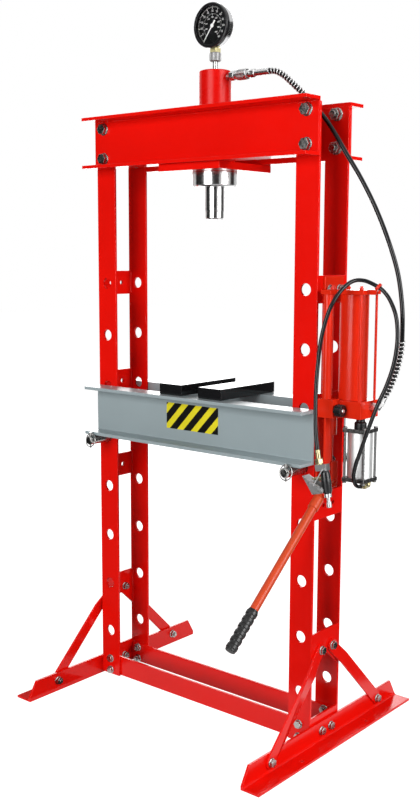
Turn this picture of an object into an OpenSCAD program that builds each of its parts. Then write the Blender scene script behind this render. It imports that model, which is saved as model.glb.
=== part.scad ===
// Hydropneumatic workshop press: an H-frame with a pinned bed, a ram under the crosshead,
// a pressure gauge, and a pump with a hand lever and an air motor on the right column.
// Millimetres, +Z up, +X to the right column, -Y to the front. The origin is on the floor
// under the ram, in the middle of the four floor anchor holes.

/* [Frame] */
// Width over both columns
frame_w = 690; // [640:1:760]
// Depth of a column over its two uprights
col_d = 120; // [110:1:140]
// Width of an upright bar
bar_w = 63; // [56:1:72]
// Thickness of an upright bar
bar_t = 6; // [5:0.5:8]
// Height of the crosshead's top edge above the floor
frame_h = 1485; // [1440:1:1560]
// Height of the columns' lower ends above the floor
col_gap = 4; // [2:0.5:5]
// Thickness of the tie plates that join two uprights
tie_t = 6; // [5:0.5:8]
// Height of a tie plate
tie_h = 62; // [50:1:70]
// Middle height of the upper tie plates
tie_top_z = 1069.5; // [1060:1:1080]
// Middle height of the middle tie plates
tie_mid_z = 805; // [800:1:810]
// Middle height of the lower tie plates
tie_low_z = 575; // [560:1:580]
// Top of the gusset tie that the braces bolt to
gusset_top_z = 272; // [266:1:290]
// Height of the gusset tie in its middle
gusset_h = 61; // [56:1:70]
// Extra drop of the gusset tie at its two sides
gusset_drop = 39; // [20:1:45]
// Top of the bottom tie plate
tie_foot_z = 66; // [58:1:76]
// Diameter of the pin holes in the uprights
hole_d = 28; // [26:0.5:30]
// Height of the lowest pin hole
hole_first_z = 128; // [124:1:132]
// Distance between pin holes
hole_pitch = 134.4; // [132:0.2:136]
// Number of pin holes in an upright
hole_n = 8; // [8:1:8]
// Distance between the two bolt holes in a tie plate
tie_hole_gap = 38; // [34:1:44]

/* [Feet] */
// Length of a foot from front to back
foot_l = 644; // [600:1:700]
// Leg of the foot's angle section
foot_leg = 50; // [46:1:56]
// Thickness of the foot's angle section
foot_t = 6; // [5:0.5:8]
// Length of the cut-off corner at a foot's end
foot_cut = 24; // [15:1:30]
// Distance between the two anchor holes of a foot
anchor_gap = 274; // [240:1:300]
// Diameter of an anchor hole
anchor_d = 12; // [10:0.5:14]
// Distance of the anchor holes from the column's outer face
anchor_out = 32; // [28:1:36]
// Height of the bolts that hold a foot to its column
foot_bolt_z = 28; // [26:1:30]
// Width of a brace
brace_w = 30; // [26:1:34]
// Thickness of a brace
brace_t = 5; // [4:0.5:6]
// Distance between the two upper brace bolts
brace_top_gap = 46; // [42:1:52]
// Height of the upper brace bolts
brace_top_z = 228; // [226:1:240]
// Distance between the two lower brace bolts
brace_low_gap = 450; // [420:1:480]
// Height of the lower brace bolts
brace_low_z = 29; // [27:1:31]
// Height of the bottom rails
rail_h = 52; // [48:1:56]
// Thickness of the bottom rails
rail_t = 6; // [5:0.5:8]
// Height of the rails above the floor
rail_z = 6; // [5:0.5:10]
// Height of the lower rail bolts above the rail's lower edge
rail_bolt_z = 10; // [10:0.5:12]
// Distance between the two bolts at a rail's end
rail_bolt_gap = 32; // [26:1:34]

/* [Crosshead] */
// Height of the crosshead's channels
head_h = 126; // [116:1:140]
// Flange width of the crosshead's channels
head_b = 54; // [48:1:60]
// Web thickness of the channels
web_t = 6; // [5:0.5:8]
// Flange thickness of the channels
flange_t = 8; // [7:0.5:10]
// Root radius of the channels
root_r = 2.5; // [2:0.5:3]
// Distance between the two crosshead bolts at one end
head_bolt_gap = 74; // [66:1:78]
// Diameter of the crosshead bolts
head_bolt_d = 16; // [14:1:16]
// Width of the cylinder's support plate
plate_w = 190; // [170:1:220]
// Depth of the cylinder's support plate
plate_d = 198; // [180:1:226]
// Thickness of the support plate
plate_t = 17; // [14:1:20]

/* [Bed] */
// Height of the bed's channels
bed_h = 126; // [120:1:132]
// Flange width of the bed's channels
bed_b = 54; // [48:1:60]
// Clearance between the bed and the columns
bed_gap = 1.5; // [1:0.5:3]
// Pin hole that the bed stands at, counted from the lowest
bed_step = 4; // [4:1:4]
// Diameter of a bed pin
pin_d = 24; // [22:0.5:25]
// Length of a bed pin under its head
pin_l = 268; // [260:1:290]
// Thickness of the bed's cross plates
cross_t = 10; // [8:1:14]
// Distance between the bed's cross plates
cross_gap = 420; // [380:1:460]
// Height of the bed's cross plates
cross_h = 84; // [70:1:90]
// Width of a press plate
block_w = 72; // [60:1:80]
// Length of a press plate
block_l = 212; // [200:1:230]
// Height of a press plate
block_h = 27; // [24:1:32]
// Clear distance between the two press plates
block_gap = 53; // [40:1:70]
// Shift of the press plates to the back
block_shift = 13; // [0:1:16]

/* [Ram] */
// Outside diameter of the press cylinder
cyl_d = 77; // [74:1:82]
// Bore of the press cylinder
cyl_bore = 58; // [56:1:60]
// Height of the cylinder's top above the crosshead
cyl_up = 94; // [88:1:110]
// Thickness of the cylinder's closed top
cyl_cap = 22; // [18:1:26]
// Diameter of the cylinder's shoulder on the support plate
shoulder_d = 96; // [90:1:106]
// Diameter of the ring nut under the support plate
ring_d = 109; // [100:1:116]
// Height of the ring nut
ring_h = 36; // [30:1:42]
// Diameter of the ram
ram_d = 48.5; // [46:0.5:50]
// Ram length below the ring nut at rest, with its nose
ram_out = 77; // [60:1:90]
// Height of the ram's nose piece
nose_h = 20; // [16:1:26]
// Travel of the ram
stroke = 150; // [140:1:152]
// Height of the piston on the ram
piston_h = 30; // [24:1:34]
// Bore in the ram for the return spring
ram_bore = 30; // [28:1:32]
// Outside diameter of the return spring
spring_d = 25; // [22:0.5:26]
// Wire diameter of the return spring
spring_wire = 4; // [3:0.5:5]
// Number of turns of the return spring
spring_n = 20; // [18:1:24]

/* [Gauge] */
// Outside diameter of the gauge's bezel
gauge_d = 104; // [98:1:110]
// Depth of the gauge's case
gauge_depth = 30; // [26:1:36]
// Height of the gauge's middle above the cylinder
gauge_up = 103; // [98:1:114]
// Diameter of the gauge's stem pipe
stem_d = 12; // [10:0.5:13]
// Height of the stem pipe between the cylinder and the nut
stem_h = 22; // [18:1:26]
// Diameter of the union nut
nut_d = 26; // [24:0.5:28]
// Height of the union nut
nut_h = 21; // [18:1:24]
// Width of the gauge's brass socket
socket_w = 18; // [16:0.5:20]

/* [Pump] */
// Distance of the block's outer face from the column
block_out = 104; // [100:1:112]
// Depth of the pump block
pump_d = 74; // [70:1:80]
// Height of the pump block
pump_h = 39; // [36:1:42]
// Height of the pump block's lower face
pump_z = 786; // [784:1:788]
// Outside diameter of the oil reservoir
tank_d = 65; // [60:1:68]
// Distance of the reservoir's axis from the column
tank_out = 59.5; // [58:0.5:62]
// Wall of the reservoir
tank_wall = 3; // [2:0.5:4]
// Height of the pump's top plate
cap_z = 1060; // [1056:1:1064]
// Thickness of the pump's top plate
cap_t = 10; // [8:1:12]
// Diameter of the pump's tie rods
rod_d = 6; // [5:0.5:7]
// Half distance of the tie rods along the width
rod_x = 37; // [36:0.5:39]
// Half distance of the tie rods along the depth
rod_y = 32; // [30:0.5:33]
// Outside diameter of the oil pipe
pipe_d = 20; // [18:0.5:22]
// Diameter of the release knob
knob_d = 28; // [24:0.5:30]
// Length of the release knob
knob_l = 18; // [14:0.5:20]

/* [Lever] */
// Distance of the lever's plane from the column
lever_out = 15; // [14.5:0.5:17]
// Angle of the lever below the horizontal at rest
lever_angle = 40; // [36:1:42]
// Distance from the lever's fulcrum to its free end
lever_l = 431; // [400:1:460]
// Outside diameter of the lever's tube
lever_d = 20; // [18:0.5:21]
// Length of the rubber grip
grip_l = 103; // [90:1:115]
// Outside diameter of the rubber grip
grip_d = 26; // [24:0.5:27]
// Distance from the fulcrum to the plunger's pin
arm_l = 35; // [32:1:38]
// Height of the fulcrum
fulcrum_z = 612; // [606:1:616]
// Distance of the plunger's axis to the front of the middle
plunger_y = 19; // [17:0.5:21]
// Diameter of the plunger
plunger_d = 12; // [11:0.5:13]

/* [Air motor] */
// Distance of the air motor's axis from the column
motor_out = 82; // [80:0.5:84]
// Outside diameter of the air motor's tube
motor_d = 57; // [52:1:58]
// Side of the air motor's end plates
motor_w = 58; // [56:1:62]
// Thickness of the end plates
motor_plate_t = 9; // [8:0.5:11]
// Length of the air motor's tube
motor_l = 103; // [98:1:108]
// Diameter of the air motor's tie rods
motor_rod_d = 6; // [5:0.5:7]
// Diameter of the black adapter above the air motor
adapter_d = 28; // [24:1:32]
// Length of the adapter
adapter_l = 24; // [20:1:26]

/* [Air valve] */
// Largest diameter of the valve's handle
valve_d = 22; // [20:0.5:22]
// Length of the valve's handle
valve_l = 50; // [48:1:54]

/* [Hoses] */
// Outside diameter of the hydraulic hose
oil_hose_d = 10; // [9:0.5:11]
// Outside diameter of the air hose
air_hose_d = 9; // [8:0.5:10]
// Outside diameter of the spring guards on the hydraulic hose
guard_d = 14; // [13:0.5:15]

/* [Fasteners] */
// Diameter of the frame's bolts
bolt_d = 10; // [8:1:10]
// Clearance of a bolt in its hole
bolt_clear = 1; // [0.6:0.1:1.4]
// Thickness of the washers
washer_t = 2; // [1.5:0.5:3]
// Radial running clearance of pins, rods and pistons
run_clear = 0.05; // [0.03:0.01:0.1]

/* [Hidden] */
$fn = 48;

RED = [0.83, 0.03, 0.02];
GREY = [0.54, 0.6, 0.62];
STEEL = [0.72, 0.73, 0.74];
BRASS = [0.78, 0.66, 0.32];
BLACK = [0.05, 0.05, 0.05];
WHITE = [0.92, 0.92, 0.92];

col_x = frame_w / 2;
bar_mid_x = col_x - bar_w / 2;
tie_in_x = col_x - tie_t;
head_z = frame_h - head_h;
head_mid_z = frame_h - head_h / 2;
hole_zs = [for (i = [0 : hole_n - 1]) hole_first_z + i * hole_pitch];
pin_z = hole_zs[bed_step] - (hole_d - pin_d) / 2;
bed_z = pin_z + pin_d / 2;
bed_top = bed_z + bed_h;
bolt_hole_d = bolt_d + bolt_clear;
head_hole_d = head_bolt_d + bolt_clear;
foot_x = col_x + foot_t;

plate_z = head_z - plate_t;
ring_z = plate_z - ring_h;
cyl_top = frame_h + cyl_up;
ram_tip = ring_z - ram_out;
gland_top = plate_z;
piston_z = gland_top + stroke + 2;
gauge_z = cyl_top + gauge_up;

block_x = col_x + block_out;
tank_x = col_x + tank_out;
pipe_x = col_x + 24;
pipe_out = 15;
lug_out = pipe_out + pipe_d / 2 + 1;
lug_end_x = col_x + 48;
pump_top = pump_z + pump_h;
lever_x = col_x + lever_out;
slot_shift = 4;
fulcrum_y = -plunger_y - slot_shift - arm_l * cos(lever_angle);
pin_arm_z = fulcrum_z + arm_l * sin(lever_angle);
motor_x = col_x + motor_out;
motor_top = pump_z - adapter_l;
motor_low = motor_top - motor_l - 2 * motor_plate_t;
elbow_z = motor_low - 9;
elbow_x = motor_x + 14;
elbow_y = 12;

// Ends of the hydraulic hose: at the coupler on the cylinder, and at the pump block
coupler_z = cyl_top - 16;
oil_x = cyl_d / 2 + 123.5;
// Route of the hydraulic hose: the upper part follows the cylinder, the lower part the pump
oil_route = [
    for (p = [
        [0, 0, 0], [18, 0, -2], [41, 0, -14], [66, 0, -34], [94, 0, -58], [119, 0, -82],
        [143, 0, -105], [166, 0, -131], [188, 0, -161], [209, 0, -192]
    ]) p + [oil_x, 0, coupler_z],
    for (p = [
        [-38, 2, 488], [0, 4, 423], [33, 5, 353], [58, 7, 282], [70, 8, 212], [72, 9, 155],
        [70, 10, 120], [63, 10, 83], [51, 10, 47], [41, 10, 25.5], [32, 10, 11]
    ]) p + [block_x, 0, pump_top]
];
// Route of the air hose: from the elbow, up past the block, through the eye, down to the valve
air_route = [
    for (p = [
        [0, 0, 0], [0.4, -10.4, 1.4], [1.2, -20, 5.4], [2.2, -28.3, 11.7], [3.4, -34.6, 20],
        [4.8, -38.6, 29.6], [6.5, -40, 40], [12, -40, 62], [23, -38, 95]
    ]) p + [elbow_x, elbow_y - 28, elbow_z],
    for (p = [
        [30, -50, -12], [45, -43, 36], [61, -34, 80], [72, -26, 124], [76, -20, 166], [74, -16, 202]
    ]) p + [block_x, 0, pump_z],
    for (p = [
        [66, -12, -40], [49, -8, -10], [32, -8, 9], [14.5, -13, 21], [-7, -26, 31], [-23, -46, 29],
        [-34, -72, 10], [-44, -94, -22], [-54, -102, -59]
    ]) p + [block_x, 0, cap_z],
    for (p = [
        [-61, -108, 172], [-63, -114, 121], [-61, -122, 72], [-56, -130, 29], [-49, -138, -16],
        [-44, -141, -40], [-41, -142, -56]
    ]) p + [block_x, 0, pump_z]
];

function unit(v) = v / norm(v);

// Directions in which the hoses run into the pump's fitting and into the valve, which hangs askew
oil_end = len(oil_route) - 1;
oil_end_dir = oil_route[oil_end] - oil_route[oil_end - 1];
valve_lean = -10;
air_end_dir = [-sin(valve_lean), 0, -cos(valve_lean)];

function curve_point(p, q, r, s, t) =
    0.5 * (2 * q + (r - p) * t + (2 * p - 5 * q + 4 * r - s) * t * t
    + (3 * q - p - 3 * r + s) * t * t * t);

function route_points(pts, n) = [
    for (i = [0 : len(pts) - 2])
        for (k = [0 : n - 1])
            curve_point(pts[max(i - 1, 0)], pts[i], pts[i + 1],
                pts[min(i + 2, len(pts) - 1)], k / n),
    pts[len(pts) - 1]
];

function route_tangents(p) = [
    for (i = [0 : len(p) - 1]) unit(p[min(i + 1, len(p) - 1)] - p[max(i - 1, 0)])
];

// One solid along a route: rs gives the radius at each point of the route, and its two ends are
// square to the fittings that they meet, whose directions are start_dir and end_dir
module swept_tube(p, rs, start_dir, end_dir, sides = 10) {
    free = route_tangents(p);
    ts = [unit(start_dir), for (i = [1 : len(p) - 2]) free[i], unit(end_dir)];
    rings = [
        for (i = [0 : len(p) - 1])
            let (side = unit(cross(ts[i], [0.1, 1, 0.15])), up = cross(side, ts[i]))
            for (k = [0 : sides - 1])
                p[i] + rs[i] * (cos(360 * k / sides) * side + sin(360 * k / sides) * up)
    ];
    last = (len(p) - 1) * sides;
    walls = [
        for (i = [0 : len(p) - 2])
            for (k = [0 : sides - 1])
                let (a = i * sides + k, b = i * sides + (k + 1) % sides)
                [a, b, b + sides, a + sides]
    ];
    polyhedron(rings, concat([[for (k = [sides - 1 : -1 : 0]) k]], walls,
        [[for (k = [0 : sides - 1]) last + k]]), convexity = 6);
}

// Inner corner of a rolled section
module root_fillet(r) {
    difference() {
        square(r);
        translate([r, r]) circle(r);
    }
}

// Rolled channel along X, its web on the plane y = 0 and its flanges towards +Y
module channel(l, h, b) {
    rotate([90, 0, 90])
        linear_extrude(l, center = true) {
            square([web_t, h]);
            square([b, flange_t]);
            translate([0, h - flange_t]) square([b, flange_t]);
            translate([web_t, flange_t]) root_fillet(root_r);
            translate([web_t, h - flange_t]) mirror([0, 1]) root_fillet(root_r);
        }
}

// Copies on both sides of the press
module both_sides() {
    for (s = [0, 1]) mirror([s, 0, 0]) children();
}

// Copies at the front and at the back
module front_and_back() {
    for (s = [0, 1]) mirror([0, s, 0]) children();
}

// Hexagon head bolt with a washer: the washer's seat is at z = 0, the shank goes down
module hex_bolt(d, l, af) {
    cylinder(d = 1.25 * af, h = washer_t);
    translate([0, 0, washer_t]) cylinder(d = af / cos(30), h = 0.62 * d, $fn = 6);
    translate([0, 0, -l]) cylinder(d = d, h = l + washer_t);
}

// Hexagon nut with a washer, on a bolt that comes up through z = 0
module hex_nut(d, af) {
    difference() {
        union() {
            cylinder(d = 1.25 * af, h = washer_t);
            translate([0, 0, washer_t]) cylinder(d = af / cos(30), h = 0.8 * d, $fn = 6);
        }
        translate([0, 0, -1]) cylinder(d = d + 2 * run_clear, h = d + washer_t + 2);
    }
}

bolt_af = 1.7 * bolt_d;
head_bolt_af = 1.5 * head_bolt_d;
nut_len = washer_t + bolt_d;

// Places of the crosshead's bolts, each with its seat on the front channel's web
module head_bolt_places(y) {
    front_and_back() both_sides()
        for (s = [-1, 1])
            translate([bar_mid_x, -y, head_mid_z + s * head_bolt_gap / 2])
                rotate([90, 0, 0]) children();
}

// Places of the rail bolts: local +Z points out of the upright at depth y
module rail_bolt_places(y) {
    front_and_back() both_sides()
        for (k = [0, 1])
            translate([bar_mid_x, -y, rail_z + rail_bolt_z + k * rail_bolt_gap])
                rotate([90, 0, 0]) children();
}

// Places of the bolts on the columns' outer faces: local +Z points outwards at distance x
module side_places(x, half_y, z) {
    both_sides() front_and_back()
        translate([x, half_y, z]) rotate([0, 90, 0]) children();
}

// One upright ladder: two bars, tie plates between them and a gusset for the braces
module column() {
    gusset_low = gusset_top_z - gusset_h;
    inner_y = col_d / 2 - bar_t;
    difference() {
        union() {
            front_and_back()
                translate([col_x - bar_w, -col_d / 2, col_gap])
                    cube([bar_w, bar_t, frame_h - 10 - col_gap]);
            for (z = [tie_low_z, tie_mid_z, tie_top_z])
                translate([tie_in_x, -col_d / 2, z - tie_h / 2]) cube([tie_t, col_d, tie_h]);
            translate([tie_in_x, -col_d / 2, col_gap])
                cube([tie_t, col_d, tie_foot_z - col_gap]);
            translate([tie_in_x, 0, 0]) rotate([90, 0, 90])
                linear_extrude(tie_t)
                    polygon([
                        [-col_d / 2, gusset_top_z], [-col_d / 2, gusset_low - gusset_drop],
                        [-inner_y, gusset_low - gusset_drop], [-inner_y / 5, gusset_low],
                        [inner_y / 5, gusset_low], [inner_y, gusset_low - gusset_drop],
                        [col_d / 2, gusset_low - gusset_drop], [col_d / 2, gusset_top_z]
                    ]);
        }
        for (z = hole_zs)
            translate([bar_mid_x, -col_d, z]) rotate([-90, 0, 0]) cylinder(d = hole_d, h = 2 * col_d);
        for (s = [-1, 1])
            translate([bar_mid_x, -col_d, head_mid_z + s * head_bolt_gap / 2])
                rotate([-90, 0, 0]) cylinder(d = head_hole_d, h = 2 * col_d);
        for (k = [0, 1])
            translate([bar_mid_x, -col_d, rail_z + rail_bolt_z + k * rail_bolt_gap])
                rotate([-90, 0, 0]) cylinder(d = bolt_hole_d, h = 2 * col_d);
        front_and_back() {
            for (z = [tie_low_z, tie_mid_z, tie_top_z])
                column_side_hole(tie_hole_gap / 2, z);
            column_side_hole(tie_hole_gap / 2, foot_bolt_z);
            column_side_hole(brace_top_gap / 2, brace_top_z);
        }
    }
}

module column_side_hole(y, z) {
    translate([tie_in_x - 1, y, z]) rotate([0, 90, 0]) cylinder(d = bolt_hole_d, h = tie_t + 2);
}

module right_column() { color(RED) column(); }

module left_column() { color(RED) mirror([1, 0, 0]) column(); }

module crosshead_channel() {
    difference() {
        translate([0, col_d / 2, head_z]) channel(frame_w, head_h, head_b);
        both_sides()
            for (s = [-1, 1])
                translate([bar_mid_x, col_d / 2 - 1, head_mid_z + s * head_bolt_gap / 2])
                    rotate([-90, 0, 0]) cylinder(d = head_hole_d, h = web_t + 2);
    }
}

module rear_crosshead() { color(RED) crosshead_channel(); }

module front_crosshead() { color(RED) mirror([0, 1, 0]) crosshead_channel(); }

module crosshead_bolts() {
    color(STEEL)
        head_bolt_places(col_d / 2 + web_t)
            hex_bolt(head_bolt_d, web_t + bar_t + washer_t + head_bolt_d + 4, head_bolt_af);
}

module crosshead_nuts() {
    color(STEEL)
        head_bolt_places(col_d / 2 - bar_t) mirror([0, 0, 1]) hex_nut(head_bolt_d, head_bolt_af);
}

// Angle section outside the column, with its corners cut off at both ends
module foot() {
    low = 10;
    difference() {
        union() {
            translate([col_x, 0, 0]) rotate([90, 0, 90])
                linear_extrude(foot_t)
                    polygon([
                        [-foot_l / 2, 0], [foot_l / 2, 0], [foot_l / 2, low],
                        [foot_l / 2 - foot_cut, foot_leg], [foot_cut - foot_l / 2, foot_leg],
                        [-foot_l / 2, low]
                    ]);
            translate([col_x, -foot_l / 2, 0]) cube([foot_leg, foot_l, foot_t]);
            translate([foot_x, foot_l / 2, foot_t]) rotate([90, 0, 0])
                linear_extrude(foot_l) root_fillet(foot_t - 1);
        }
        front_and_back() {
            translate([col_x + anchor_out, anchor_gap / 2, -1]) cylinder(d = anchor_d, h = foot_t + 2);
            translate([col_x - 1, tie_hole_gap / 2, foot_bolt_z])
                rotate([0, 90, 0]) cylinder(d = bolt_hole_d, h = foot_t + 2);
            translate([col_x - 1, brace_low_gap / 2, brace_low_z])
                rotate([0, 90, 0]) cylinder(d = bolt_hole_d, h = foot_t + 2);
        }
    }
}

module right_foot() { color(RED) foot(); }

module left_foot() { color(RED) mirror([1, 0, 0]) foot(); }

// Flat bar with a joggle, from the gusset at the column down to the foot's outer face
module brace() {
    run = (brace_low_gap - brace_top_gap) / 2;
    fall = brace_top_z - brace_low_z;
    l = norm([run, fall]);
    bend = 30;
    translate([col_x, brace_top_gap / 2, brace_top_z])
        rotate([-atan2(fall, run), 0, 0])
            difference() {
                intersection() {
                    translate([0, 0, -brace_w / 2])
                        linear_extrude(brace_w)
                            polygon([
                                [0, -brace_w], [brace_t, -brace_w], [brace_t, bend],
                                [foot_t + brace_t, 2 * bend], [foot_t + brace_t, l + brace_w],
                                [foot_t, l + brace_w], [foot_t, 2 * bend], [0, bend]
                            ]);
                    translate([-1, 0, 0]) rotate([90, 0, 90])
                        linear_extrude(foot_t + brace_t + 2) {
                            circle(d = brace_w);
                            translate([l, 0]) circle(d = brace_w);
                            translate([0, -brace_w / 2]) square([l, brace_w]);
                        }
                }
                for (s = [0, l])
                    translate([-1, s, 0]) rotate([0, 90, 0])
                        cylinder(d = bolt_hole_d, h = foot_t + brace_t + 2);
            }
}

module brace_right_rear() { color(RED) brace(); }

module brace_right_front() { color(RED) mirror([0, 1, 0]) brace(); }

module brace_left_rear() { color(RED) mirror([1, 0, 0]) brace(); }

module brace_left_front() { color(RED) mirror([1, 0, 0]) mirror([0, 1, 0]) brace(); }

// Flat rail behind the uprights' lower ends
module rail() {
    l = frame_w - 2 * tie_t - 2;
    difference() {
        translate([-l / 2, col_d / 2 - bar_t - rail_t, rail_z]) cube([l, rail_t, rail_h]);
        both_sides()
            for (k = [0, 1])
                translate([bar_mid_x, 0, rail_z + rail_bolt_z + k * rail_bolt_gap])
                    rotate([-90, 0, 0]) cylinder(d = bolt_hole_d, h = col_d);
    }
}

module rear_rail() { color(RED) rail(); }

module front_rail() { color(RED) mirror([0, 1, 0]) rail(); }

module frame_bolts() {
    grip = nut_len + 3;
    color(STEEL) {
        rail_bolt_places(col_d / 2) hex_bolt(bolt_d, bar_t + rail_t + grip, bolt_af);
        side_places(foot_x, tie_hole_gap / 2, foot_bolt_z)
            hex_bolt(bolt_d, foot_t + tie_t + grip, bolt_af);
        side_places(col_x + brace_t, brace_top_gap / 2, brace_top_z)
            hex_bolt(bolt_d, brace_t + tie_t + grip, bolt_af);
        side_places(foot_x + brace_t, brace_low_gap / 2, brace_low_z)
            hex_bolt(bolt_d, brace_t + foot_t + grip, bolt_af);
        front_and_back() {
            translate([col_x + tie_t, tie_hole_gap / 2, tie_top_z]) rotate([0, 90, 0])
                hex_bolt(bolt_d, 2 * tie_t + grip, bolt_af);
            translate([tie_in_x, tie_hole_gap / 2, tie_mid_z]) rotate([0, -90, 0])
                hex_bolt(bolt_d, tie_t + 14, bolt_af);
        }
    }
}

module frame_nuts() {
    color(STEEL) {
        rail_bolt_places(col_d / 2 - bar_t - rail_t) mirror([0, 0, 1]) hex_nut(bolt_d, bolt_af);
        side_places(tie_in_x, tie_hole_gap / 2, foot_bolt_z) mirror([0, 0, 1]) hex_nut(bolt_d, bolt_af);
        side_places(tie_in_x, brace_top_gap / 2, brace_top_z) mirror([0, 0, 1]) hex_nut(bolt_d, bolt_af);
        side_places(col_x, brace_low_gap / 2, brace_low_z) mirror([0, 0, 1]) hex_nut(bolt_d, bolt_af);
        front_and_back()
            translate([tie_in_x, tie_hole_gap / 2, tie_top_z])
                rotate([0, -90, 0]) hex_nut(bolt_d, bolt_af);
    }
}

// Two channels back to back around the columns, joined by two welded cross plates
module bed() {
    web_y = col_d / 2 + bed_gap;
    color(GREY) {
        front_and_back() translate([0, web_y, bed_z]) channel(frame_w, bed_h, bed_b);
        both_sides()
            translate([cross_gap / 2 - cross_t / 2, -web_y - 1, bed_z + flange_t])
                cube([cross_t, 2 * web_y + 2, cross_h]);
    }
}

// Round pin with a head at the back, a chamfered front end and a hole for its clip
module bed_pin() {
    difference() {
        translate([bar_mid_x, pin_l / 2, pin_z]) rotate([90, 0, 0])
            rotate_extrude()
                polygon([
                    [0, -6], [pin_d / 2 + 5, -6], [pin_d / 2 + 5, 0], [pin_d / 2, 0],
                    [pin_d / 2, pin_l - 3], [pin_d / 2 - 3, pin_l], [0, pin_l]
                ]);
        translate([bar_mid_x, clip_y, pin_z - pin_d]) cylinder(d = clip_hole_d, h = 2 * pin_d);
    }
}

clip_wire_d = 4;
clip_hole_d = clip_wire_d + 0.4;
clip_y = 8 - pin_l / 2;

module bed_pin_right() { color(STEEL) bed_pin(); }

module bed_pin_left() { color(STEEL) mirror([1, 0, 0]) bed_pin(); }

// Lynch pin: a headed wire pin through the bed pin, with a ring round the bed pin's end
module pin_clip() {
    ring_r = pin_d / 2 + clip_wire_d;
    translate([bar_mid_x, clip_y, pin_z]) {
        translate([0, 0, -ring_r - 5]) cylinder(d = clip_wire_d, h = 2 * ring_r + 5);
        translate([0, 0, ring_r - 4]) cylinder(d = 2 * clip_wire_d, h = 8);
        rotate([78, 0, 0])
            rotate_extrude() translate([ring_r + 1, 0]) circle(d = 2.6);
    }
}

module pin_clip_right() { color(STEEL) pin_clip(); }

module pin_clip_left() { color(STEEL) mirror([1, 0, 0]) pin_clip(); }

// Flat bar with its long edges broken
module press_plate() {
    edge = 1.5;
    translate([0, block_l / 2 + block_shift, bed_top]) rotate([90, 0, 0])
        linear_extrude(block_l)
            polygon([
                [block_gap / 2 + edge, 0], [block_gap / 2 + block_w - edge, 0],
                [block_gap / 2 + block_w, edge], [block_gap / 2 + block_w, block_h - edge],
                [block_gap / 2 + block_w - edge, block_h], [block_gap / 2 + edge, block_h],
                [block_gap / 2, block_h - edge], [block_gap / 2, edge]
            ]);
}

module press_plate_right() { color(BLACK) press_plate(); }

module press_plate_left() { color(BLACK) mirror([1, 0, 0]) press_plate(); }

module support_plate() {
    color(RED)
        difference() {
            translate([-plate_w / 2, -plate_d / 2, plate_z]) cube([plate_w, plate_d, plate_t]);
            translate([0, 0, plate_z - 1]) cylinder(d = cyl_d + 2 * run_clear, h = plate_t + 2);
        }
}

// Tube with a closed top, a shoulder above the support plate and a gland at its lower end
module cylinder_body() {
    lip = 8;
    difference() {
        translate([0, 0, ring_z + 6])
            rotate_extrude()
                polygon([
                    [0, 0], [cyl_d / 2, 0], [cyl_d / 2, head_z - ring_z - 6],
                    [shoulder_d / 2, head_z - ring_z - 6], [shoulder_d / 2, head_z - ring_z + lip],
                    [cyl_d / 2, head_z - ring_z + lip], [cyl_d / 2, cyl_top - ring_z - 8],
                    [cyl_d / 2 - 2, cyl_top - ring_z - 6], [0, cyl_top - ring_z - 6]
                ]);
        translate([0, 0, gland_top]) cylinder(d = cyl_bore, h = cyl_top - cyl_cap - gland_top);
        translate([0, 0, ring_z]) cylinder(d = ram_d + 2 * run_clear, h = ring_h + plate_t);
        translate([0, 0, cyl_top - cyl_cap - 1]) cylinder(d = 4, h = cyl_cap + 2);
        translate([0, 0, coupler_z]) rotate([0, 90, 0]) cylinder(d = 5, h = cyl_d);
    }
}

module cylinder_node() { color(RED) cylinder_body(); }

// Ring nut that clamps the cylinder to the support plate
module cylinder_ring() {
    color(STEEL)
        translate([0, 0, ring_z])
            difference() {
                rotate_extrude()
                    polygon([
                        [0, 0], [ring_d / 2 - 4, 0], [ring_d / 2, 4], [ring_d / 2, ring_h],
                        [0, ring_h]
                    ]);
                translate([0, 0, 6]) cylinder(d = cyl_d + 2 * run_clear, h = ring_h);
                translate([0, 0, -1]) cylinder(d = ram_d + 1, h = 10);
            }
}

// Hollow ram with its piston, and a spigot for the nose piece
module ram() {
    nose_z = ram_tip + nose_h;
    color(STEEL)
        difference() {
            translate([0, 0, nose_z])
                rotate_extrude()
                    polygon([
                        [0, -spigot_h], [spigot_d / 2, -spigot_h], [spigot_d / 2, 0],
                        [ram_d / 2, 0], [ram_d / 2, piston_z - nose_z],
                        [cyl_bore / 2 - run_clear, piston_z - nose_z],
                        [cyl_bore / 2 - run_clear, piston_z + piston_h - nose_z],
                        [0, piston_z + piston_h - nose_z]
                    ]);
            translate([0, 0, spring_low]) cylinder(d = ram_bore, h = piston_z + piston_h);
        }
}

spigot_d = 24;
spigot_h = 12;
spring_low = ring_z + 10;
spring_top = cyl_top - cyl_cap;

// Cap on the ram's end, a little narrower than the ram
module ram_nose() {
    edge = 3;
    color(STEEL)
        translate([0, 0, ram_tip])
            difference() {
                rotate_extrude()
                    polygon([
                        [0, 0], [ram_d / 2 - 1 - edge, 0], [ram_d / 2 - 1, edge],
                        [ram_d / 2 - 1, nose_h], [0, nose_h]
                    ]);
                translate([0, 0, nose_h - spigot_h]) cylinder(d = spigot_d + 2 * run_clear, h = spigot_h + 1);
            }
}

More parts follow.
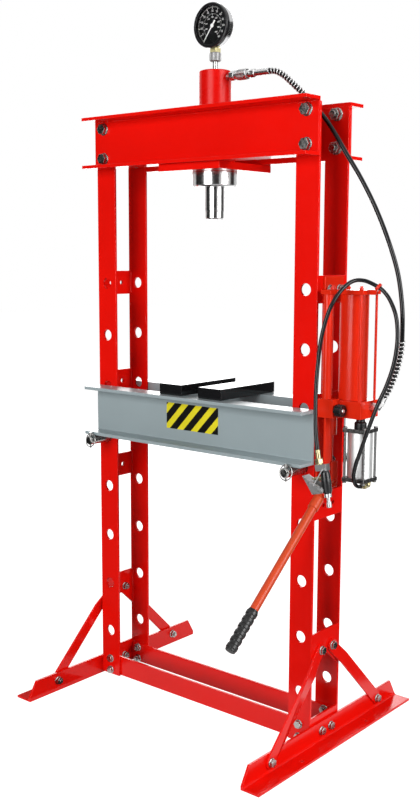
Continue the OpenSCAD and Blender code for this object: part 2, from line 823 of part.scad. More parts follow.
// Extension spring from the cylinder's closed top down into the hollow ram
module return_spring() {
    steps = 12;
    r = (spring_d - spring_wire) / 2;
    low = spring_low + spring_wire / 2;
    rise = spring_top - spring_low - spring_wire;
    pts = [
        for (i = [0 : spring_n * steps])
            let (t = i / (spring_n * steps), a = 360 * i / steps)
            [r * cos(a), r * sin(a), low + t * rise]
    ];
    ts = route_tangents(pts);
    rings = [
        for (i = [0 : len(pts) - 1])
            let (out = [cos(360 * i / steps), sin(360 * i / steps), 0], up = cross(out, ts[i]))
            for (k = [0 : 5])
                pts[i] + spring_wire / 2 * (cos(60 * k) * out + sin(60 * k) * up)
    ];
    last = (len(pts) - 1) * 6;
    walls = [
        for (i = [0 : len(pts) - 2])
            for (k = [0 : 5])
                let (a = i * 6 + k, b = i * 6 + (k + 1) % 6)
                [a, a + 6, b + 6, b]
    ];
    color(STEEL)
        polyhedron(rings, concat([[for (k = [0 : 5]) k]], walls,
            [[for (k = [5 : -1 : 0]) last + k]]), convexity = 10);
}

module gauge_stem() {
    color(STEEL)
        difference() {
            translate([0, 0, cyl_top]) cylinder(d = stem_d, h = stem_h);
            translate([0, 0, cyl_top - 1]) cylinder(d = 4, h = stem_h + 2);
        }
}

// Knurled union nut between the stem and the gauge's socket
module gauge_nut() {
    color(STEEL)
        translate([0, 0, cyl_top + stem_h])
            rotate_extrude()
                polygon([
                    [2, 0], [nut_d / 2 - 1.5, 0], [nut_d / 2, 1.5], [nut_d / 2, nut_h - 1.5],
                    [nut_d / 2 - 1.5, nut_h], [2, nut_h]
                ]);
}

gauge_low = cyl_top + stem_h + nut_h;
case_front = -gauge_depth / 2 - 2;
case_r = gauge_d / 2 - 3;
dial_y = case_front + 6;

// Square brass shank from the union nut into the case
module gauge_socket() {
    color(BRASS) {
        translate([-socket_w / 2, -socket_w / 2, gauge_low])
            cube([socket_w, socket_w, 10]);
        translate([0, 0, gauge_low]) cylinder(d = socket_w - 4, h = gauge_z - case_r - gauge_low - 0.1);
    }
}

// Deep drawn cup, open to the front, with a rounded back edge
module gauge_case() {
    wall = 2;
    round_r = 8;
    color(STEEL)
        translate([0, case_front, gauge_z]) rotate([-90, 0, 0])
            rotate_extrude() {
                difference() {
                    union() {
                        square([case_r, gauge_depth - round_r]);
                        square([case_r - round_r, gauge_depth]);
                        translate([case_r - round_r, gauge_depth - round_r])
                            intersection() {
                                circle(round_r);
                                square(round_r);
                            }
                    }
                    translate([0, -1]) square([case_r - wall, gauge_depth - round_r + 1]);
                }
            }
}

// Rolled ring that holds the glass on the case
module gauge_bezel() {
    front = case_front - 4;
    color(STEEL)
        translate([0, front, gauge_z]) rotate([-90, 0, 0])
            rotate_extrude()
                polygon([
                    [case_r - 5, 0], [gauge_d / 2 - 2, 0], [gauge_d / 2, 2], [gauge_d / 2, 11],
                    [case_r + 0.1, 11], [case_r + 0.1, 3.9], [case_r - 5, 3.9]
                ]);
}

module gauge_dial() {
    color(BLACK)
        translate([0, dial_y, gauge_z]) rotate([-90, 0, 0])
            difference() {
                cylinder(r = case_r - 2.1, h = 1.5);
                translate([0, 0, -1]) cylinder(d = 4 + 2 * run_clear, h = 4);
            }
}

needle_zero = 217;

// Tapered pointer with a tail and a hub on its spindle, at the dial's zero
module gauge_needle() {
    color(WHITE)
        translate([0, dial_y, gauge_z]) rotate([0, needle_zero, 0]) {
            translate([0, -1, 0]) rotate([90, 0, 0])
                linear_extrude(0.8)
                    polygon([[-2.2, -14], [2.2, -14], [1.6, 0], [0.5, 38], [-0.5, 38], [-1.6, 0]]);
            translate([0, -2.4, 0]) rotate([-90, 0, 0]) cylinder(d = 9, h = 1.6);
            translate([0, -2.4, 0]) rotate([-90, 0, 0]) cylinder(d = 4, h = 6);
        }
}

module gauge_glass() {
    color([0.9, 0.95, 0.95, 0.35])
        translate([0, case_front, gauge_z]) rotate([-90, 0, 0]) cylinder(r = case_r - 2.1, h = 2);
}

// Quick coupler: nipple in the cylinder, body, and the hose's ferrule
module hose_coupler() {
    color(STEEL)
        translate([0, 0, coupler_z]) rotate([0, 90, 0]) {
            translate([0, 0, cyl_d / 2]) cylinder(d = 13, h = 12);
            translate([0, 0, cyl_d / 2 + 10]) cylinder(d = 20 / cos(30), h = 12, $fn = 6);
            translate([0, 0, cyl_d / 2 + 22]) cylinder(d = 18, h = 48);
            translate([0, 0, cyl_d / 2 + 70]) cylinder(d = 17 / cos(30), h = 12, $fn = 6);
            translate([0, 0, cyl_d / 2 + 82]) cylinder(d = 15, h = oil_x - cyl_d / 2 - 82);
        }
}

// Threaded sleeve that locks the two halves of the coupler
module coupler_sleeve() {
    color(STEEL)
        translate([cyl_d / 2 + 30, 0, coupler_z]) rotate([0, 90, 0])
            difference() {
                cylinder(d = 24, h = 30);
                translate([0, 0, -1]) cylinder(d = 18 + 2 * run_clear, h = 32);
            }
}

module hydraulic_hose() {
    p = route_points(oil_route, 2);
    guard_n = 9;
    guard_m = len(p) - 10;
    rs = [for (i = [0 : len(p) - 1]) (i < guard_n || i > guard_m ? guard_d : oil_hose_d) / 2];
    color(BLACK) swept_tube(p, rs, [1, 0, 0], oil_end_dir);
}

module air_hose() {
    p = route_points(air_route, 2);
    color(BLACK) swept_tube(p, [for (q = p) air_hose_d / 2], [0, -1, 0], air_end_dir);
}

// Elbow on the pump block, with the ferrule of the hydraulic hose
module hose_fitting() {
    tip = oil_route[len(oil_route) - 1];
    seat = [block_x, tip[1], tip[2] - 26];
    color(STEEL) {
        translate(seat) rotate([0, 90, 0]) cylinder(d = 17 / cos(30), h = 12, $fn = 6);
        translate(seat) rotate([0, 90, 0]) cylinder(d = 13, h = 20);
        translate(tip) rotate([0, atan2(-oil_end_dir[0], -oil_end_dir[2]), 0]) translate([0, 0, -28]) {
            cylinder(d = 13, h = 12);
            translate([0, 0, 6]) cylinder(d = 17 / cos(30), h = 10, $fn = 6);
            cylinder(d = 15, h = 28);
        }
    }
}

// Block with the valve lug and the plunger's barrel, and the two cheeks of the fulcrum
module pump_block() {
    barrel_l = 44;
    cheek_t = 5;
    cheek_w = 20;
    color(RED)
        difference() {
            union() {
                translate([col_x, -pump_d / 2, pump_z]) cube([block_out, pump_d, pump_h]);
                translate([lever_x - cheek_in - 2, -pump_d / 2 - lug_out, pump_z])
                    cube([lug_end_x - lever_x + cheek_in + 2, lug_out + 1, pump_h + 3]);
                translate([lever_x, -plunger_y, pump_z - barrel_l]) cylinder(d = 28, h = barrel_l + 1);
                for (s = [-1, 1])
                    translate([lever_x + s * cheek_in - (s < 0 ? cheek_t : 0),
                            fulcrum_y - cheek_w / 2, fulcrum_z])
                        cube([cheek_t, cheek_w, pump_z - fulcrum_z + 1]);
                translate([lever_x - cheek_in - cheek_t, fulcrum_y, fulcrum_z]) rotate([0, 90, 0])
                    cylinder(d = cheek_w, h = cheek_t);
                translate([lever_x + cheek_in, fulcrum_y, fulcrum_z]) rotate([0, 90, 0])
                    cylinder(d = cheek_w, h = cheek_t);
                translate([lever_x - cheek_in - cheek_t, fulcrum_y, fulcrum_z]) rotate([0, 90, 0])
                    cylinder(d = fulcrum_d, h = 2 * cheek_in + 2 * cheek_t);
            }
            translate([lever_x, -plunger_y, pump_z - barrel_l - 1])
                cylinder(d = plunger_d + 2 * run_clear, h = barrel_l + 30);
            front_and_back()
                translate([col_x - 1, tie_hole_gap / 2, tie_mid_z]) rotate([0, 90, 0])
                    cylinder(d = bolt_d + 2 * run_clear, h = 16);
            translate([knob_x - 12, knob_y, knob_z]) rotate([0, 90, 0])
                cylinder(d = 8 + 2 * run_clear, h = 20);
            for (s = [-1, 1], t = [-1, 1])
                translate([tank_x + s * rod_x, t * rod_y, pump_top - 14])
                    cylinder(d = rod_d + 2 * run_clear, h = 20);
            translate([motor_x, 0, pump_z - 1]) cylinder(d = 16 + 2 * run_clear, h = 13);
        }
}

cheek_in = 8;
fulcrum_d = 10;
knob_x = lug_end_x;
knob_y = -pump_d / 2 - knob_d / 2 - 1;
knob_z = pump_z + 18;

module reservoir() {
    color(RED)
        translate([tank_x, 0, pump_top])
            difference() {
                cylinder(d = tank_d, h = cap_z - pump_top);
                translate([0, 0, 2]) cylinder(d = tank_d - 2 * tank_wall, h = cap_z - pump_top - 4);
            }
}

// Top plate with its wall bracket, a lug for the oil pipe and an eye for the air hose
module pump_cap() {
    eye = [block_x + 22, -10.5, cap_z + 16.5];
    eye_d = air_hose_d + 2.4;
    eye_turn = [0, -56, 16];
    arm_out = 19;
    bracket_h = 58;
    lug_edge = 3;
    color(RED)
        difference() {
            union() {
                translate([col_x, -pump_d / 2, cap_z]) cube([block_out, pump_d, cap_t]);
                translate([pipe_x - pipe_d / 2 - lug_edge, -pump_d / 2 - lug_out, cap_z])
                    cube([pipe_d + 2 * lug_edge, lug_out + 1, cap_t]);
                translate([col_x, -pump_d / 2, tie_top_z - bracket_h / 2]) cube([tie_t, pump_d, bracket_h]);
                translate(eye) rotate(eye_turn) cylinder(d = eye_d + 7, h = 6, center = true);
                translate([block_x - 4, eye[1] - 4, cap_z]) cube([arm_out + 4, 6, cap_t + 1]);
            }
            translate(eye) rotate(eye_turn) cylinder(d = eye_d, h = 30, center = true);
            front_and_back()
                translate([col_x - 1, tie_hole_gap / 2, tie_top_z]) rotate([0, 90, 0])
                    cylinder(d = bolt_hole_d, h = tie_t + 2);
            for (s = [-1, 1], t = [-1, 1])
                translate([tank_x + s * rod_x, t * rod_y, cap_z - 1])
                    cylinder(d = rod_d + 2 * run_clear, h = cap_t + 2);
            front_and_back()
                translate([col_x + tie_t, tie_hole_gap / 2, tie_top_z]) rotate([0, 90, 0])
                    cylinder(d = bolt_af * 1.3, h = 14);
        }
}

// Four tie rods from the block through the top plate, each with its nut
module pump_rods() {
    color(RED)
        for (s = [-1, 1], t = [-1, 1])
            translate([tank_x + s * rod_x, t * rod_y, pump_top - 12]) {
                cylinder(d = rod_d, h = cap_z + cap_t + 12 - pump_top + 9);
                translate([0, 0, cap_z + cap_t + 12 - pump_top])
                    cylinder(d = 1.9 * rod_d, h = 5, $fn = 6);
            }
}

module oil_pipe() {
    color(RED)
        translate([pipe_x, -pump_d / 2 - pipe_out, pump_top + 3])
            cylinder(d = pipe_d, h = cap_z - pump_top - 3);
}

// Fluted knob on the release valve's spindle
module release_knob() {
    color(BLACK)
        translate([knob_x, knob_y, knob_z]) rotate([0, 90, 0])
            difference() {
                union() {
                    translate([0, 0, -10]) cylinder(d = 8, h = 14);
                    translate([0, 0, 3]) cylinder(d = knob_d, h = knob_l);
                }
                for (a = [0 : 60 : 300])
                    rotate(a) translate([knob_d / 2 + 2, 0, 2]) cylinder(d = 8, h = knob_l + 2);
            }
}

// Plunger rod with a forked end, slotted for the lever's pin
module plunger() {
    fork_w = 26;
    fork_t = 4;
    fork_low = pin_arm_z - 14;
    fork_top = pin_arm_z + 46;
    slot = slot_shift + 0.8;
    slot_d = lever_pin_d + 2.2;
    color(RED)
        translate([lever_x, -plunger_y, 0])
            difference() {
                union() {
                    translate([0, 0, fork_top - 2]) cylinder(d = plunger_d, h = pump_z + 8 - fork_top);
                    translate([-tongue_t / 2 - 1 - fork_t, -fork_w / 2, fork_low])
                        cube([tongue_t + 2 + 2 * fork_t, fork_w, fork_top - fork_low]);
                }
                translate([-tongue_t / 2 - 1, -fork_w, fork_low - 1])
                    cube([tongue_t + 2, 2 * fork_w, fork_top - fork_low - 19]);
                for (y = [-slot, slot])
                    translate([-fork_w, y, pin_arm_z]) rotate([0, 90, 0])
                        cylinder(d = slot_d, h = 2 * fork_w);
                translate([-fork_w, -slot, pin_arm_z - slot_d / 2])
                    cube([2 * fork_w, 2 * slot, slot_d]);
            }
}

tongue_t = 14;
lever_pin_d = 8;

// Frame of the lever: local +X runs from the fulcrum along the lever to its free end
module lever_frame() {
    translate([lever_x, fulcrum_y, fulcrum_z]) rotate([0, 0, -90]) rotate([0, lever_angle, 0]) children();
}

socket_l = 48;

// Flat tongue with the fulcrum's bore and the plunger's pin, and the socket for the lever
module lever_socket() {
    tongue_h = 20;
    color(RED)
        lever_frame()
            difference() {
                union() {
                    rotate([90, 0, 0]) translate([0, 0, -tongue_t / 2])
                        linear_extrude(tongue_t) {
                            circle(d = tongue_h);
                            translate([-arm_l, 0]) circle(d = tongue_h);
                            translate([-arm_l, -tongue_h / 2]) square([arm_l + 20, tongue_h]);
                        }
                    translate([18, 0, 0]) rotate([0, 90, 0]) cylinder(d = lever_d + 5, h = socket_l - 18);
                    translate([-arm_l, 0, 0]) rotate([90, 0, 0])
                        cylinder(d = lever_pin_d, h = tongue_t + 10, center = true);
                }
                rotate([90, 0, 0]) cylinder(d = fulcrum_d + 2 * run_clear, h = 2 * tongue_t, center = true);
                translate([24, 0, 0]) rotate([0, 90, 0]) cylinder(d = lever_d + 2 * run_clear, h = socket_l);
            }
}

module lever() {
    color(RED)
        lever_frame()
            translate([24, 0, 0]) rotate([0, 90, 0])
                difference() {
                    cylinder(d = lever_d, h = lever_l - 27);
                    translate([0, 0, -1]) cylinder(d = lever_d - 5, h = lever_l);
                }
}

// Rubber grip with finger ribs and a closed end
module lever_grip() {
    rib_n = 6;
    color(BLACK)
        lever_frame()
            translate([lever_l - grip_l, 0, 0]) rotate([0, 90, 0])
                difference() {
                    union() {
                        cylinder(d = grip_d - 3, h = grip_l);
                        for (i = [0 : rib_n - 1])
                            translate([0, 0, 4 + i * (grip_l - 18) / (rib_n - 1)])
                                cylinder(d = grip_d, h = 9);
                    }
                    translate([0, 0, -1]) cylinder(d = lever_d + 2 * run_clear, h = grip_l - 2);
                }
}

module air_adapter() {
    color(BLACK)
        translate([motor_x, 0, motor_top])
            rotate_extrude()
                polygon([
                    [0, 0], [adapter_d / 2, 0], [adapter_d / 2, 11], [adapter_d / 2 - 4, 15],
                    [adapter_d / 2 - 4, adapter_l], [8, adapter_l], [8, adapter_l + 10],
                    [0, adapter_l + 10]
                ]);
}

module air_tube() {
    color(STEEL)
        translate([motor_x, 0, motor_low + motor_plate_t])
            difference() {
                cylinder(d = motor_d, h = motor_l);
                translate([0, 0, 2]) cylinder(d = motor_d - 6, h = motor_l - 4);
            }
}

motor_rod_pos = motor_w / 2 - motor_rod_d / 2 - 1.5;

module air_motor_ends() {
    color(STEEL)
        for (z = [motor_low, motor_top - motor_plate_t])
            translate([motor_x, 0, z])
                difference() {
                    translate([-motor_w / 2, -motor_w / 2, 0]) cube([motor_w, motor_w, motor_plate_t]);
                    for (s = [-1, 1], t = [-1, 1])
                        translate([s * motor_rod_pos, t * motor_rod_pos, -1])
                            cylinder(d = motor_rod_d + 2 * run_clear, h = motor_plate_t + 2);
                }
}

module air_motor_rods() {
    nut_t = 4;
    color(STEEL)
        for (s = [-1, 1], t = [-1, 1])
            translate([motor_x + s * motor_rod_pos, t * motor_rod_pos, motor_low - nut_t]) {
                cylinder(d = motor_rod_d, h = motor_l + 2 * motor_plate_t + 2 * nut_t);
                cylinder(d = 1.8 * motor_rod_d, h = nut_t, $fn = 6);
                translate([0, 0, motor_l + 2 * motor_plate_t + nut_t])
                    cylinder(d = 1.8 * motor_rod_d, h = nut_t, $fn = 6);
            }
}

// Brass elbow under the air motor, with the air hose's ferrule
module air_elbow() {
    tip = air_route[0];
    color(BRASS)
        translate([elbow_x, elbow_y, elbow_z]) {
            cylinder(d = 12, h = motor_low - elbow_z);
            translate([0, 0, motor_low - elbow_z - 5]) cylinder(d = 16 / cos(30), h = 5, $fn = 6);
            sphere(d = 15);
            rotate([90, 0, 0]) cylinder(d = 11, h = elbow_y - tip[1]);
            translate([0, -8, 0]) rotate([90, 0, 0]) cylinder(d = 15 / cos(30), h = 9, $fn = 6);
        }
}

handle_x = 12;
handle_top = -46;
handle_low = handle_top - valve_l;
core_d = 9;
pivot = [3, -87];
pivot_d = 5;
cheek_y = valve_d / 2 + 0.6;
trigger_t = 1.6;

// Frame of the valve: its handle hangs down from the hose's end and leans to the right
module valve_frame() {
    translate(air_route[len(air_route) - 1]) rotate([0, valve_lean, 0]) children();
}

// Brass tail, light head with a wire latch, and the pipe through the handle to the nipple
module valve_core() {
    wire_d = 2.4;
    wire_y = cheek_y + trigger_t + 2;
    from = [handle_x + 4, -wire_y, handle_top + 4];
    to = [-13, -wire_y, -76];
    fall = to - from;
    color(BRASS)
        valve_frame()
            difference() {
                union() {
                    translate([0, 0, -20]) cylinder(d = 10.5, h = 20);
                    translate([0, 0, -30]) cylinder(d = 16 / cos(30), h = 10, $fn = 6);
                    translate([0, 0, -36]) cylinder(d = 13, h = 8);
                    translate([-7, -8, handle_top]) cube([28, 16, 14]);
                    translate([handle_x, 0, handle_low - 8]) cylinder(d = core_d, h = valve_l + 12);
                    translate([handle_x, 0, handle_low - 8]) cylinder(d = 16, h = 8);
                    translate([handle_x, 0, handle_low - 20]) cylinder(d = 8, h = 14);
                    translate([handle_x, 0, handle_low - 30]) cylinder(d = 11, h = 12);
                    translate([from[0], 0, from[2]]) rotate([90, 0, 0]) cylinder(d = wire_d, h = wire_y);
                    translate(from) rotate([0, atan2(fall[0], fall[2]), 0])
                        cylinder(d = wire_d, h = norm(fall));
                    translate(from) sphere(d = wire_d);
                }
                translate([handle_x, 0, handle_low - 31]) cylinder(d = 4, h = 26);
            }
}

// Black handle round the pipe, with the push button and the lug of the trigger's pin
module air_valve() {
    r = valve_d / 2;
    bore_r = core_d / 2 + run_clear;
    color(BLACK)
        valve_frame()
            difference() {
                union() {
                    translate([handle_x, 0, handle_low])
                        rotate_extrude()
                            polygon([
                                [0, 0], [r - 3, 0], [r - 1, 4], [r, 26], [r - 1, valve_l - 5],
                                [r - 3, valve_l], [0, valve_l]
                            ]);
                    translate([pivot[0] - 6, 1 - r, pivot[1] - 6]) cube([12, valve_d - 2, 12]);
                    translate([handle_x, 0, -63]) rotate([0, -90, 0]) {
                        cylinder(d = 9, h = handle_x + 14);
                        cylinder(d = 4, h = handle_x + 24);
                    }
                }
                translate([handle_x, 0, handle_low - 1]) cylinder(r = bore_r, h = valve_l + 2);
                translate([pivot[0], 0, pivot[1]]) rotate([90, 0, 0])
                    cylinder(d = pivot_d + 2 * run_clear, h = 2 * valve_d, center = true);
            }
}

// Folded steel trigger: an outer plate and two cheeks on a cross pin at the handle's lower end
module air_trigger() {
    tip = [-40, -54];
    heel = [-20, -95.5];
    wide = 2 * (cheek_y + trigger_t);
    color(STEEL)
        valve_frame() rotate([90, 0, 0]) {
            translate([pivot[0], pivot[1], 0]) cylinder(d = pivot_d, h = wide + 1, center = true);
            for (s = [-1, 1])
                translate([0, 0, s * (cheek_y + trigger_t / 2)])
                    linear_extrude(trigger_t, center = true) {
                        polygon([tip, heel, pivot + [0, -7], pivot + [1, 7]]);
                        translate(pivot) circle(7);
                    }
            linear_extrude(wide, center = true)
                polygon([tip, heel, heel + [1.6, 0.8], tip + [1.6, 0.8]]);
        }
}

left_column();
right_column();
front_crosshead();
rear_crosshead();
crosshead_bolts();
crosshead_nuts();
left_foot();
right_foot();
brace_left_front();
brace_left_rear();
brace_right_front();
brace_right_rear();
front_rail();
rear_rail();
frame_bolts();
frame_nuts();
bed();
bed_pin_left();
bed_pin_right();
pin_clip_left();
pin_clip_right();
press_plate_left();
press_plate_right();
support_plate();
cylinder_node();  // cylinder
cylinder_ring();
ram();
ram_nose();
return_spring();
gauge_stem();
gauge_nut();
gauge_socket();
gauge_case();
gauge_bezel();
gauge_dial();
gauge_needle();
gauge_glass();
hose_coupler();
coupler_sleeve();
hydraulic_hose();
air_hose();
hose_fitting();
pump_block();
reservoir();
pump_cap();
pump_rods();
oil_pipe();
release_knob();
plunger();
lever_socket();
lever();
lever_grip();
air_adapter();
air_tube();
air_motor_ends();
air_motor_rods();
air_elbow();
valve_core();
air_valve();
air_trigger();
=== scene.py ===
import math

import bmesh
import bpy
from mathutils import Matrix, Vector


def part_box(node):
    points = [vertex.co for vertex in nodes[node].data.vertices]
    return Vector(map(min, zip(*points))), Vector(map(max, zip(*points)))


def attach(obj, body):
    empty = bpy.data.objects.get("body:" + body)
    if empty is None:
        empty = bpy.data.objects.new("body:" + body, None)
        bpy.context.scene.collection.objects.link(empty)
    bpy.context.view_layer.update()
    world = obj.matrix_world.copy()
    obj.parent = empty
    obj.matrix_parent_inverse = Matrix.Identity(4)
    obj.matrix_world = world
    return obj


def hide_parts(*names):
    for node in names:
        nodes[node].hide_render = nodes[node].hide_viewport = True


# Frame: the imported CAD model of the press, in metres, which every piece below is built round.
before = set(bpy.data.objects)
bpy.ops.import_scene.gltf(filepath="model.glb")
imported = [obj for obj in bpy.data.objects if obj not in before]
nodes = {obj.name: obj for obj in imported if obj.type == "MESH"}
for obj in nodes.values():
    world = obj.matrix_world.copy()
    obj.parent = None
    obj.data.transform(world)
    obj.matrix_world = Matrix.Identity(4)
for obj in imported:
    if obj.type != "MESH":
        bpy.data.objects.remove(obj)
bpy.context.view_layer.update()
scene = bpy.context.scene


# Camera: at eye height, to the right of the press, looking down a little.
# Its place and lens were fitted to the straight edges of the frame.
def put(name, data):
    """An object at the origin that holds this mesh, lamp or camera."""
    made = bpy.data.objects.new(name, data)
    scene.collection.objects.link(made)
    return made


eye = Vector((1.66026, -2.00246, 1.15291))
yaw, pitch, roll = 0.696073, 0.140524, 0.003345
ahead = Vector((-math.sin(yaw) * math.cos(pitch), math.cos(yaw) * math.cos(pitch), -math.sin(pitch)))
level = Vector((math.cos(yaw), math.sin(yaw), 0))
plumb = level.cross(ahead)
across = math.cos(roll) * level + math.sin(roll) * plumb
upward = math.cos(roll) * plumb - math.sin(roll) * level
camera_data = bpy.data.cameras.new("camera")
camera_data.sensor_width = 36.0
camera_data.lens = 47.352
camera_data.clip_end = 60
camera = put("camera", camera_data)
camera.matrix_world = Matrix.Translation(eye) @ Matrix((across, upward, -ahead)).transposed().to_4x4()
bpy.context.scene.camera = camera

# Studio: a pale floor, a white surround and four large soft lamps; the front and right ones lead.
# Three dark cards stand outside the view and two lie on the floor, as on a product table.
# Only gloss sees the cards.
scene.view_settings.view_transform = "Standard"


def connect(tree, node, inputs):
    """Each of these inputs is linked, or set where a plain value is given."""
    for key, value in inputs.items():
        if hasattr(value, "is_linked"):
            tree.links.new(value, node.inputs[key])
        else:
            node.inputs[key].default_value = value


def wired(tree, kind, inputs=None, **settings):
    """A new node with these settings and inputs."""
    made = tree.nodes.new(kind)
    for key, value in settings.items():
        setattr(made, key, value)
    connect(tree, made, inputs or {})
    return made


def node_math(tree, operation, *values):
    return wired(tree, "ShaderNodeMath", dict(enumerate(values)), operation=operation).outputs[0]


def seen_directly(tree):
    """1 for rays from the camera, from gloss and through glass, 0 for the light that falls on things."""
    rays = wired(tree, "ShaderNodeLightPath").outputs
    mirrored = node_math(tree, "MAXIMUM", rays["Is Glossy Ray"], rays["Is Transmission Ray"])
    return node_math(tree, "MAXIMUM", rays["Is Camera Ray"], mirrored)


def flat_sheet(name, corners, material):
    mesh = bpy.data.meshes.new(name)
    mesh.from_pydata(corners, [], [(0, 1, 2, 3)])
    mesh.materials.append(material)
    return put(name, mesh)


studio_white = (1, 1, 1, 1)
sky_strength = 0.14
world = bpy.data.worlds.new("studio")
scene.world = world
world.use_nodes = True
sky = world.node_tree
sky.nodes.clear()
sky_light = wired(sky, "ShaderNodeBackground", {"Color": studio_white, "Strength": sky_strength})
sky_white = wired(sky, "ShaderNodeBackground", {"Color": studio_white, "Strength": 1.0})
sky_mix = wired(sky, "ShaderNodeMixShader",
                {0: seen_directly(sky), 1: sky_light.outputs[0], 2: sky_white.outputs[0]})
wired(sky, "ShaderNodeOutputWorld", {"Surface": sky_mix.outputs[0]})

lamp_aim = Vector((0, 0, 0.9))
for lamp_name, lamp_at, lamp_size, lamp_power in (
    ("lamp_right", Vector((3.8, 0.2, 2.0)), 2.2, 142),
    ("lamp_front", Vector((0.3, -3.9, 1.7)), 2.4, 140),
    ("lamp_top", Vector((0.2, 0.4, 4.2)), 3.0, 9),
    ("lamp_back", Vector((-2.7, 3.4, 2.2)), 2.6, 95),
):
    lamp_data = bpy.data.lights.new(lamp_name, "AREA")
    lamp_data.size = lamp_size
    lamp_data.energy = lamp_power
    lamp = put(lamp_name, lamp_data)
    lamp.location = lamp_at
    lamp.rotation_euler = (lamp_aim - lamp_at).to_track_quat("-Z", "Y").to_euler()

card_black = bpy.data.materials.new("card_black")
card_black.use_nodes = True
connect(card_black.node_tree, card_black.node_tree.nodes["Principled BSDF"],
        {"Base Color": (0.03, 0.03, 0.03, 1), "Roughness": 1.0, "Specular IOR Level": 0.0})
card_away, card_low, card_high = 4.8, 0.01, 3.2


def dark_card(name, corners):
    card = flat_sheet(name, corners, card_black)
    card.visible_camera = False
    card.visible_diffuse = False
    card.visible_shadow = False


def card_foot(turn):
    """A standing card's lower corner, turned from the front of the press towards its right."""
    return card_away * math.sin(math.radians(turn)), -card_away * math.cos(math.radians(turn))


for card_name, card_from, card_to in (
    ("card_left", -74, -18),
    ("card_camera", 24, 63),
    ("card_right", 126, 156),
):
    first, last = card_foot(card_from), card_foot(card_to)
    dark_card(card_name, [(*first, card_low), (*last, card_low), (*last, card_high), (*first, card_high)])
for card_name, card_plan in (
    ("card_floor_left", ((0.5, -0.4), (-0.45, -0.1), (-4.6, -1.3), (-1.5, -4.6))),
    ("card_floor_right", ((0.65, 0.0), (4.2, 2.8), (2.0, 4.6), (0.42, 0.42))),
):
    dark_card(card_name, [(x, y, card_low) for x, y in card_plan])

floor_half = 14
floor_glow_strength = 0.94
floor_paint = bpy.data.materials.new("floor_paint")
floor_paint.use_nodes = True
floor_tree = floor_paint.node_tree
floor_tree.nodes.clear()
floor_seen = node_math(floor_tree, "MULTIPLY", seen_directly(floor_tree), floor_glow_strength)
floor_glow = wired(floor_tree, "ShaderNodeEmission", {"Color": studio_white, "Strength": floor_seen})
floor_matt = wired(floor_tree, "ShaderNodeBsdfDiffuse", {"Color": (0.45, 0.45, 0.45, 1)})
floor_sum = wired(floor_tree, "ShaderNodeAddShader", {0: floor_glow.outputs[0], 1: floor_matt.outputs[0]})
wired(floor_tree, "ShaderNodeOutputMaterial", {"Surface": floor_sum.outputs[0]})
floor = flat_sheet("floor", [(-floor_half, -floor_half, 0), (floor_half, -floor_half, 0),
                             (floor_half, floor_half, 0), (-floor_half, floor_half, 0)], floor_paint)


# Welded frame: two columns of flat uprights and tie plates, the crosshead's rolled channels, the
# plate that carries the cylinder, the feet, braces and rails. All are steel with broken edges,
# sprayed in gloss red with a slight orange peel.
def surface_group(name, inputs):
    """A shader group with these inputs, which gives a colour, a roughness and a fine relief."""
    group = bpy.data.node_groups.new(name, "ShaderNodeTree")
    for socket_name, kind, value in inputs:
        socket = group.interface.new_socket(name=socket_name, in_out="INPUT", socket_type=kind)
        socket.default_value = value
    for socket_name, kind in (("Colour", "NodeSocketColor"), ("Roughness", "NodeSocketFloat"),
                              ("Height", "NodeSocketFloat")):
        group.interface.new_socket(name=socket_name, in_out="OUTPUT", socket_type=kind)
    return group, wired(group, "NodeGroupInput").outputs, wired(group, "NodeGroupOutput")


def noise_from(tree, coords, size, detail):
    noise = wired(tree, "ShaderNodeTexNoise", {"Vector": coords, "Scale": size, "Detail": detail})
    return noise.outputs["Fac"]


def spread(tree, noise, low, high):
    """The middle of a noise, stretched to go from low to high."""
    ranged = wired(tree, "ShaderNodeMapRange", {
        "Value": noise, "From Min": 0.3, "From Max": 0.7, "To Min": low, "To Max": high})
    return ranged.outputs["Result"]


def tinted(tree, colour, light):
    return wired(tree, "ShaderNodeHueSaturation", {"Color": colour, "Value": light}).outputs["Color"]


skin, skin_in, skin_out = surface_group("sprayed_or_moulded_skin", [
    ("Colour", "NodeSocketColor", (0.5, 0.5, 0.5, 1)), ("Grain Size", "NodeSocketFloat", 400.0),
    ("Cloud Size", "NodeSocketFloat", 6.0), ("Smooth", "NodeSocketFloat", 0.2),
    ("Rough", "NodeSocketFloat", 0.3)])
skin_place = wired(skin, "ShaderNodeTexCoord").outputs["Object"]
skin_cloud = noise_from(skin, skin_place, skin_in["Cloud Size"], detail=4.0)
skin_smear = noise_from(skin, skin_place, size=38.0, detail=5.0)
connect(skin, skin_out, {
    "Colour": tinted(skin, skin_in["Colour"], spread(skin, skin_cloud, 0.93, 1.05)),
    "Roughness": spread(skin, skin_smear, skin_in["Smooth"], skin_in["Rough"]),
    "Height": noise_from(skin, skin_place, skin_in["Grain Size"], detail=2.0)})


def finish(name, group, colour, bump=0.05, depth=0.0002, metallic=0.0, gloss=0.5, **values):
    """A material whose colour, roughness and fine relief come from a surface group."""
    made = bpy.data.materials.new(name)
    made.use_nodes = True
    tree = made.node_tree
    sizes = {key.replace("_", " ").title(): value for key, value in values.items()}
    surface = wired(tree, "ShaderNodeGroup", {"Colour": (*colour, 1), **sizes},
                    node_tree=group, name="surface")
    relief = wired(tree, "ShaderNodeBump", {
        "Strength": bump, "Distance": depth, "Height": surface.outputs["Height"]})
    connect(tree, tree.nodes["Principled BSDF"], {
        "Base Color": surface.outputs["Colour"], "Roughness": surface.outputs["Roughness"],
        "Normal": relief.outputs["Normal"], "Metallic": metallic, "Specular IOR Level": gloss})
    return made


def smooth_faces(mesh):
    for face in mesh.polygons:
        face.use_smooth = True


